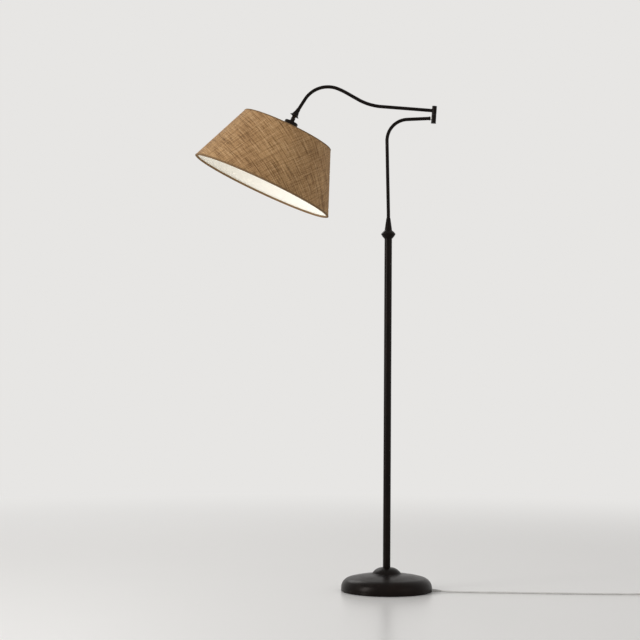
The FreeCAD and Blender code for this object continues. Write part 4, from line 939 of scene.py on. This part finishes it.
def shadeBand(name, rows, node, threadTurn, proud=0.0):
    # a closed ring: its section's rows (along, outwards) turned about the shade's axis, starting at the seam;
    # proud lifts a narrow strip at the seam, where the cloth overlaps, by a smooth step;
    # its map is the unrolled cone: distance from its tip, at the angle from the front times the sine of its slope
    s = shadeShape
    rows = np.array(rows, float)
    turn = around(s.columns) + radians(s.seamAt)
    arc = (turn - turn[0]) * s.topRadius * 1.25   # the way round at about half the height
    lap = np.clip(arc / s.seamWidth, 0, 1)
    lifted = proud * (1 - lap * lap * (3 - 2 * lap)) * (lap < 1)
    outwards = rows[:, 1:] + lifted * (rows[:, 1:] > -s.cover / 2)
    radius, height = shadeRadiusHeight(rows[:, :1] + 0 * turn, outwards)
    slant = s.bottomRadius / sin(shadeSlope) - np.append(rows[:, 0], rows[0, 0])[:, None]
    wrapped = np.append(turn, turn[0] + 2 * pi)
    angle = (wrapped - radians(270)) * sin(shadeSlope) + radians(threadTurn)
    uv = np.stack([slant * np.cos(angle), slant * np.sin(angle)], -1)
    return dress(addGrid(name, moved(wheel(radius, turn, height), headPlace), uv=uv), node)


def clothLayer(name, outer, inner, counts, node, threadTurn, proud=0.0):
    # the side between the bindings, up along its outer face and down along its inner one
    low, high = shadeShape.trimThick, shadeSide - shadeShape.trimThick
    rows = [(a, outer) for a in np.linspace(low, high, counts[0])]
    rows += [(a, inner) for a in np.linspace(high, low, counts[1])]
    return shadeBand(name, rows, node, threadTurn, proud)


def bindingTape(name, edge, way, node):
    # tape folded over an edge and the wire behind it: out along the cover, round the edge and back inside
    s = shadeShape
    depth = wireDepth + s.gap + s.wire
    t, h, lip, bend = s.trimThick, s.trimHeight, s.lipInside, 1.6 * s.trimThick
    rows = [(h, 0.0), (h - 0.0003, t), (bend, t)]
    rows += [(bend * (1 - sin(a)), t - bend * (1 - cos(a))) for a in np.linspace(0, pi / 2, 5)[1:]]
    rows += [(0.0, -depth + t), (0.3 * t, -depth - 0.7 * t), (1.3 * t, -depth - t), (h - 0.0003, -depth - t),
             (lip - 0.0003, 0.5 * t - depth), (lip, t - depth), (h, -depth), (t * 2, -depth), (t, -depth + 0.4 * t),
             (t, -0.4 * t), (t * 2, 0.0)]
    return shadeBand(name, [(edge + way * a, out) for a, out in rows], node, s.bindingTurn)


def wireRing(name, along, node):
    # a torus whose centre line is the wire's place behind the cloth
    centre = shadeRadiusHeight(along, -wireDepth)
    outline = arcSpan(centre, shadeShape.wire, 90, 90 - 360, 15)[:-1]
    return lathe(name, outline, node, headPlace, count=192)


cover = clothLayer("burlapCover", 0.0, -shadeShape.cover, (15, 5), "shade_cover", shadeShape.threadTurn,
                   shadeShape.seamRise)
innerCloth = clothLayer("whiteLining", -shadeShape.cover, -wallDepth, (4, 10), "shade_liner",
                        shadeShape.liningTurn)
topTape = bindingTape("bindingTop", shadeSide, -1, "shade_top_trim")
bottomTape = bindingTape("bindingBottom", 0.0, 1, "shade_bottom_trim")
wireRing("bottomWire", wireIn, "shade_bottom_ring")
print("shade made")


# Fitter, socket and bulb

socketShape = Values(radius=0.0175, shoulder=0.070, skirt=0.0189, skirtLength=0.027, flange=0.022,
                     flangeThick=0.0016, cavity=0.0153, insertTop=0.058, threads=7, threadDepth=0.0007, hole=0.0051,
                     chamfer=0.0006, smoothTop=0.008, clearance=0.00005, seat=0.00002, nut=0.0226, nutHeight=0.006,
                     flutes=30, fluteDepth=0.0005)
fitterShape = Values(ringWidth=0.005, ringThick=0.0015, wire=0.0016, spokes=3, startAt=90.0)


def rod(start, end, radius, count=12):
    # a straight wire between two points in the head's frame: circles along it, closed at the ends
    start, end = np.array(start, float), np.array(end, float)
    way = (end - start) / np.linalg.norm(end - start)
    side = np.cross(way, [0.0, 0.0, 1.0])
    side /= np.linalg.norm(side)
    size = np.concatenate([[0], np.full(count, radius), [0]])[:, None, None]
    path = start + np.concatenate([[0], np.linspace(0, 1, count), [1]])[:, None] * (end - start)
    turn = around(16)[None, :, None]
    return path[:, None] + size * (np.cos(turn) * side + np.sin(turn) * np.cross(side, way))


def fitter():
    # the centre ring, the top wire ring and three spokes
    f, s = fitterShape, socketShape
    top = -s.shoulder - s.seat
    low, inner, outer = top - f.ringThick, s.skirt + s.clearance, s.skirt + f.ringWidth
    lathe("shadeFitterRing", ring(inner, outer, low, top, softEdge), "shade_fitter", headPlace, count=72)
    wireRing("topWire", shadeSide - wireIn, "shade_fitter")
    edge = shadeRadiusHeight(shadeSide - wireIn, -wireDepth)
    spoke = rod((outer - 0.0005, 0, (low + top) / 2), (edge[0], 0, edge[1]), f.wire)
    for n in range(f.spokes):
        grid = moved(turnedAboutZ(spoke, f.startAt + 360 * n / f.spokes), headPlace)
        dress(addGrid("fitterSpoke%d" % n, grid, closed=False), "shade_fitter")


def thread(radius, pitch, depth, low, high):
    # a screw thread: the radius dips by depth (1 + cos(2 pi height/pitch - turn))/2 between low and high
    def wave(turn, size, height):
        fade = np.clip((height - low) / pitch, 0, 1) * np.clip((high - height) / pitch, 0, 1)
        return depth * fade * (1 + np.cos(2 * pi * height / pitch - turn)) / 2 * (np.abs(size - radius) < 1e-5)

    return wave


def socketShell():
    # a round body with a flange, a threaded skirt under it and a cavity for the bulb
    s, cap = socketShape, capShape
    top = -cap.top - cap.wall - cap.nut - 2 * cap.seat
    flangeTop, low = -s.shoulder + s.flangeThick, -s.shoulder - s.skirtLength
    skirt = [(s.skirt, z) for z in np.linspace(-s.shoulder, low + s.chamfer, 110)]
    outline = rounded([(s.hole, top), (s.radius, top, 0.0008), (s.radius, flangeTop),
                       (s.flange, flangeTop, softEdge), (s.flange, -s.shoulder, softEdge), *skirt,
                       (s.skirt - s.chamfer, low), (s.cavity, low), (s.cavity, -s.insertTop),
                       (s.hole, -s.insertTop)])
    wave = thread(s.skirt, s.skirtLength / (s.threads + 1), s.threadDepth, low,
                  -s.shoulder - s.smoothTop)
    lathe("socketShell", outline, "socket_body", headPlace, wave=wave)


def flutedNut():
    # the ring nut's outside dips by fluteDepth (1 + cos(flutes t))/2
    s = socketShape
    top = -s.shoulder - fitterShape.ringThick - 2 * s.seat
    low, bore = top - s.nutHeight, s.skirt + s.clearance
    outline = rounded([(bore, low), (s.nut, low, 0.0006), (s.nut, (low + top) / 2), (s.nut, top, 0.0006),
                       (bore, top)])

    def wave(turn, size, height):
        return s.fluteDepth * (size > bore + 0.001) * (1 + np.cos(s.flutes * turn)) / 2

    lathe("fitterRingNut", outline, "shade_ring_nut", headPlace, count=240, wave=wave)


bulbShape = Values(top=0.0684, baseRadius=0.01305, baseLength=0.025, neck=0.0135, globe=0.030, fillet=0.040,
                   glassLength=0.082, wall=0.0008, threads=6, threadDepth=0.0011, plainTop=0.004, threadTop=0.003,
                   cone=0.0075, coneDrop=0.0012, contact=0.004)


def bulbGlass():
    # straight neck, concave arc, then the globe's circle down to the axis; the same again inside for the wall
    b = bulbShape
    neckTop = -b.top - b.baseLength
    globeZ = neckTop - b.glassLength + b.globe

    def side(inset, count):
        size, fillet = b.globe - inset, b.fillet + inset
        x = b.neck - inset + fillet
        lift = sqrt((size + fillet) ** 2 - x ** 2)
        meet = degrees(atan2(x, lift))
        return np.concatenate([[(b.neck - inset, neckTop)],
                               arcSpan((x, globeZ + lift), -fillet, 90, meet, count),
                               arcSpan((0, globeZ), size, meet, 180, 2 * count)[1:]])

    outline = np.concatenate([side(0, 22), side(b.wall, 12)[::-1]])
    outline[np.abs(outline[:, 0]) < 1e-6, 0] = 0.0
    dress(addGrid("bulbGlassShell", moved(latheGrid(outline, 72), headPlace), weld=True), "bulb_glass")


def bulbCap():
    b = bulbShape
    top, low = -b.top, -b.top - b.baseLength
    wall = [(b.baseRadius, z) for z in np.linspace(low, top - b.plainTop, 90)]
    outline = rounded([(0, low), *wall, (b.cone, top - b.coneDrop, 0.0008), (b.contact, top, 0.0006), (0, top)],
                      closed=False)
    wave = thread(b.baseRadius, b.baseLength / (b.threads + 1), b.threadDepth, low, top - b.threadTop)
    lathe("bulbScrewBase", outline, "bulb_base", headPlace, closed=False, count=72, wave=wave)


knobShape = Values(drop=0.050, start=0.0185, length=0.013, radius=0.0065, tip=0.0052, flutes=14, depth=0.0006,
                   bore=0.002)


def switchKnob():
    # a tapered lathe about its own axis whose radius dips along flutes, laid along -Y
    k = knobShape
    outline = rounded([(k.bore, 0), (k.radius, 0, softEdge), (k.tip, k.length, 0.0011), (0, k.length)],
                      closed=False, steps=7)
    outline = np.concatenate([outline[:6], np.linspace(outline[5], outline[7], 12)[1:-1], outline[7:]])

    def wave(turn, size, height):
        fade = np.clip(height / 0.001, 0, 1) * np.clip((k.length * 0.9 - height) / 0.002, 0, 1)
        return k.depth * fade * (1 + np.cos(k.flutes * turn)) / 2 * (size > 0.004)

    x, y, z = np.moveaxis(dipped(latheGrid(outline, 112), wave), -1, 0)
    laid = np.stack([x, -k.start - z, y - k.drop], -1)
    dress(addGrid("switchKnob", moved(laid, headPlace), closed=False), "switch_knob")


fitter()
socketShell()
flutedNut()
bulbGlass()
bulbCap()
switchKnob()
print("socket and bulb made")


# Floor, backdrop and light

studio = Values(floor=(0.80, 0.785, 0.765), far=(0.80, 0.79, 0.775), fadeStart=1.3, fadeEnd=4.2, size=9.0,
                worldLight=0.52)
lamps = {
    "keyLeft": {"spot": (-3.2, -1.8, 1.75), "target": (-0.1, 0, 0.9), "size": 1.0, "tall": 2.6, "power": 74.0},
    "fillRight": {"spot": (2.8, -2.2, 1.6), "target": (0, 0, 0.8), "size": 2.4, "power": 8.0},
    "rimBack": {"spot": (-1.4, 2.6, 2.4), "target": (0, 0, 1.0), "size": 1.6, "power": 18.0},
}


def showBackdrop(tree, kind, factor, lit, output):
    # rays from the camera and those that a gloss or a glass sends on see the plain backdrop by this factor, in
    # place of what is lit
    path = put(tree, "LightPath").outputs
    either = sums(tree, "MAXIMUM", path["Is Camera Ray"], path["Is Glossy Ray"])
    direct = sums(tree, "MAXIMUM", either, path["Is Transmission Ray"])
    plain = put(tree, kind, {"Color": (*studio.far, 1), "Strength": 1.0})
    mixed = put(tree, "MixShader", {0: times(tree, factor, direct), 1: lit.outputs[0], 2: plain.outputs[0]})
    tree.links.new(mixed.outputs[0], tree.nodes[output].inputs["Surface"])


def studioFloor():
    # a disc whose colour runs into the backdrop's away from the lamp
    radius = np.linspace(0.001, studio.size, 24)[:, None]
    floor = addGrid("studioFloor", wheel(radius, around(96), 0 * radius), closed=False)
    material, tree, at = begin("paleFloor", **{"Roughness": 0.28, "Specular IOR Level": 0.35})
    grain = noise(tree, at["Object"], 3.0, 3.0)
    feed(tree, blend(tree, grain, tuple(0.985 * v for v in studio.floor), studio.floor))
    away = put(tree, "VectorMath", {0: at["Object"]}, operation="LENGTH").outputs["Value"]
    fade = ramp(tree, away, studio.fadeStart, studio.fadeEnd, interpolation_type="SMOOTHSTEP")
    showBackdrop(tree, "Emission", fade, tree.nodes["Principled BSDF"], "Material Output")
    floor.data.materials.append(material)


def studioWorld():
    # the object is lit by one grey level, and the camera and reflections see the pale backdrop
    world = bpy.data.worlds.new("studioWorld")
    bpy.context.scene.world = world
    world.use_nodes = True
    tree = world.node_tree
    light = put(tree, "Background", {"Color": (1, 1, 1, 1), "Strength": studio.worldLight})
    showBackdrop(tree, "Background", 1.0, light, "World Output")


def softLight(name, spot, target, size, power, tall=None):
    # a round soft box as wide as size, or an upright one where tall gives its height
    data = bpy.data.lights.new(name, "AREA")
    data.shape = "DISK" if tall is None else "RECTANGLE"
    data.size = size
    data.size_y = tall or size
    data.energy = power
    light = addObject(name, data)
    light.location = spot
    x, y, z = np.array(spot, float) - np.array(target, float)
    light.rotation_euler = (atan2(hypot(x, y), z), 0, atan2(x, -y))


studioFloor()
studioWorld()
for lampName, lamp in lamps.items():
    softLight(lampName, **lamp)
bpy.context.scene.view_settings.view_transform = "Standard"
print("studio lit")

bpy.context.view_layer.update()
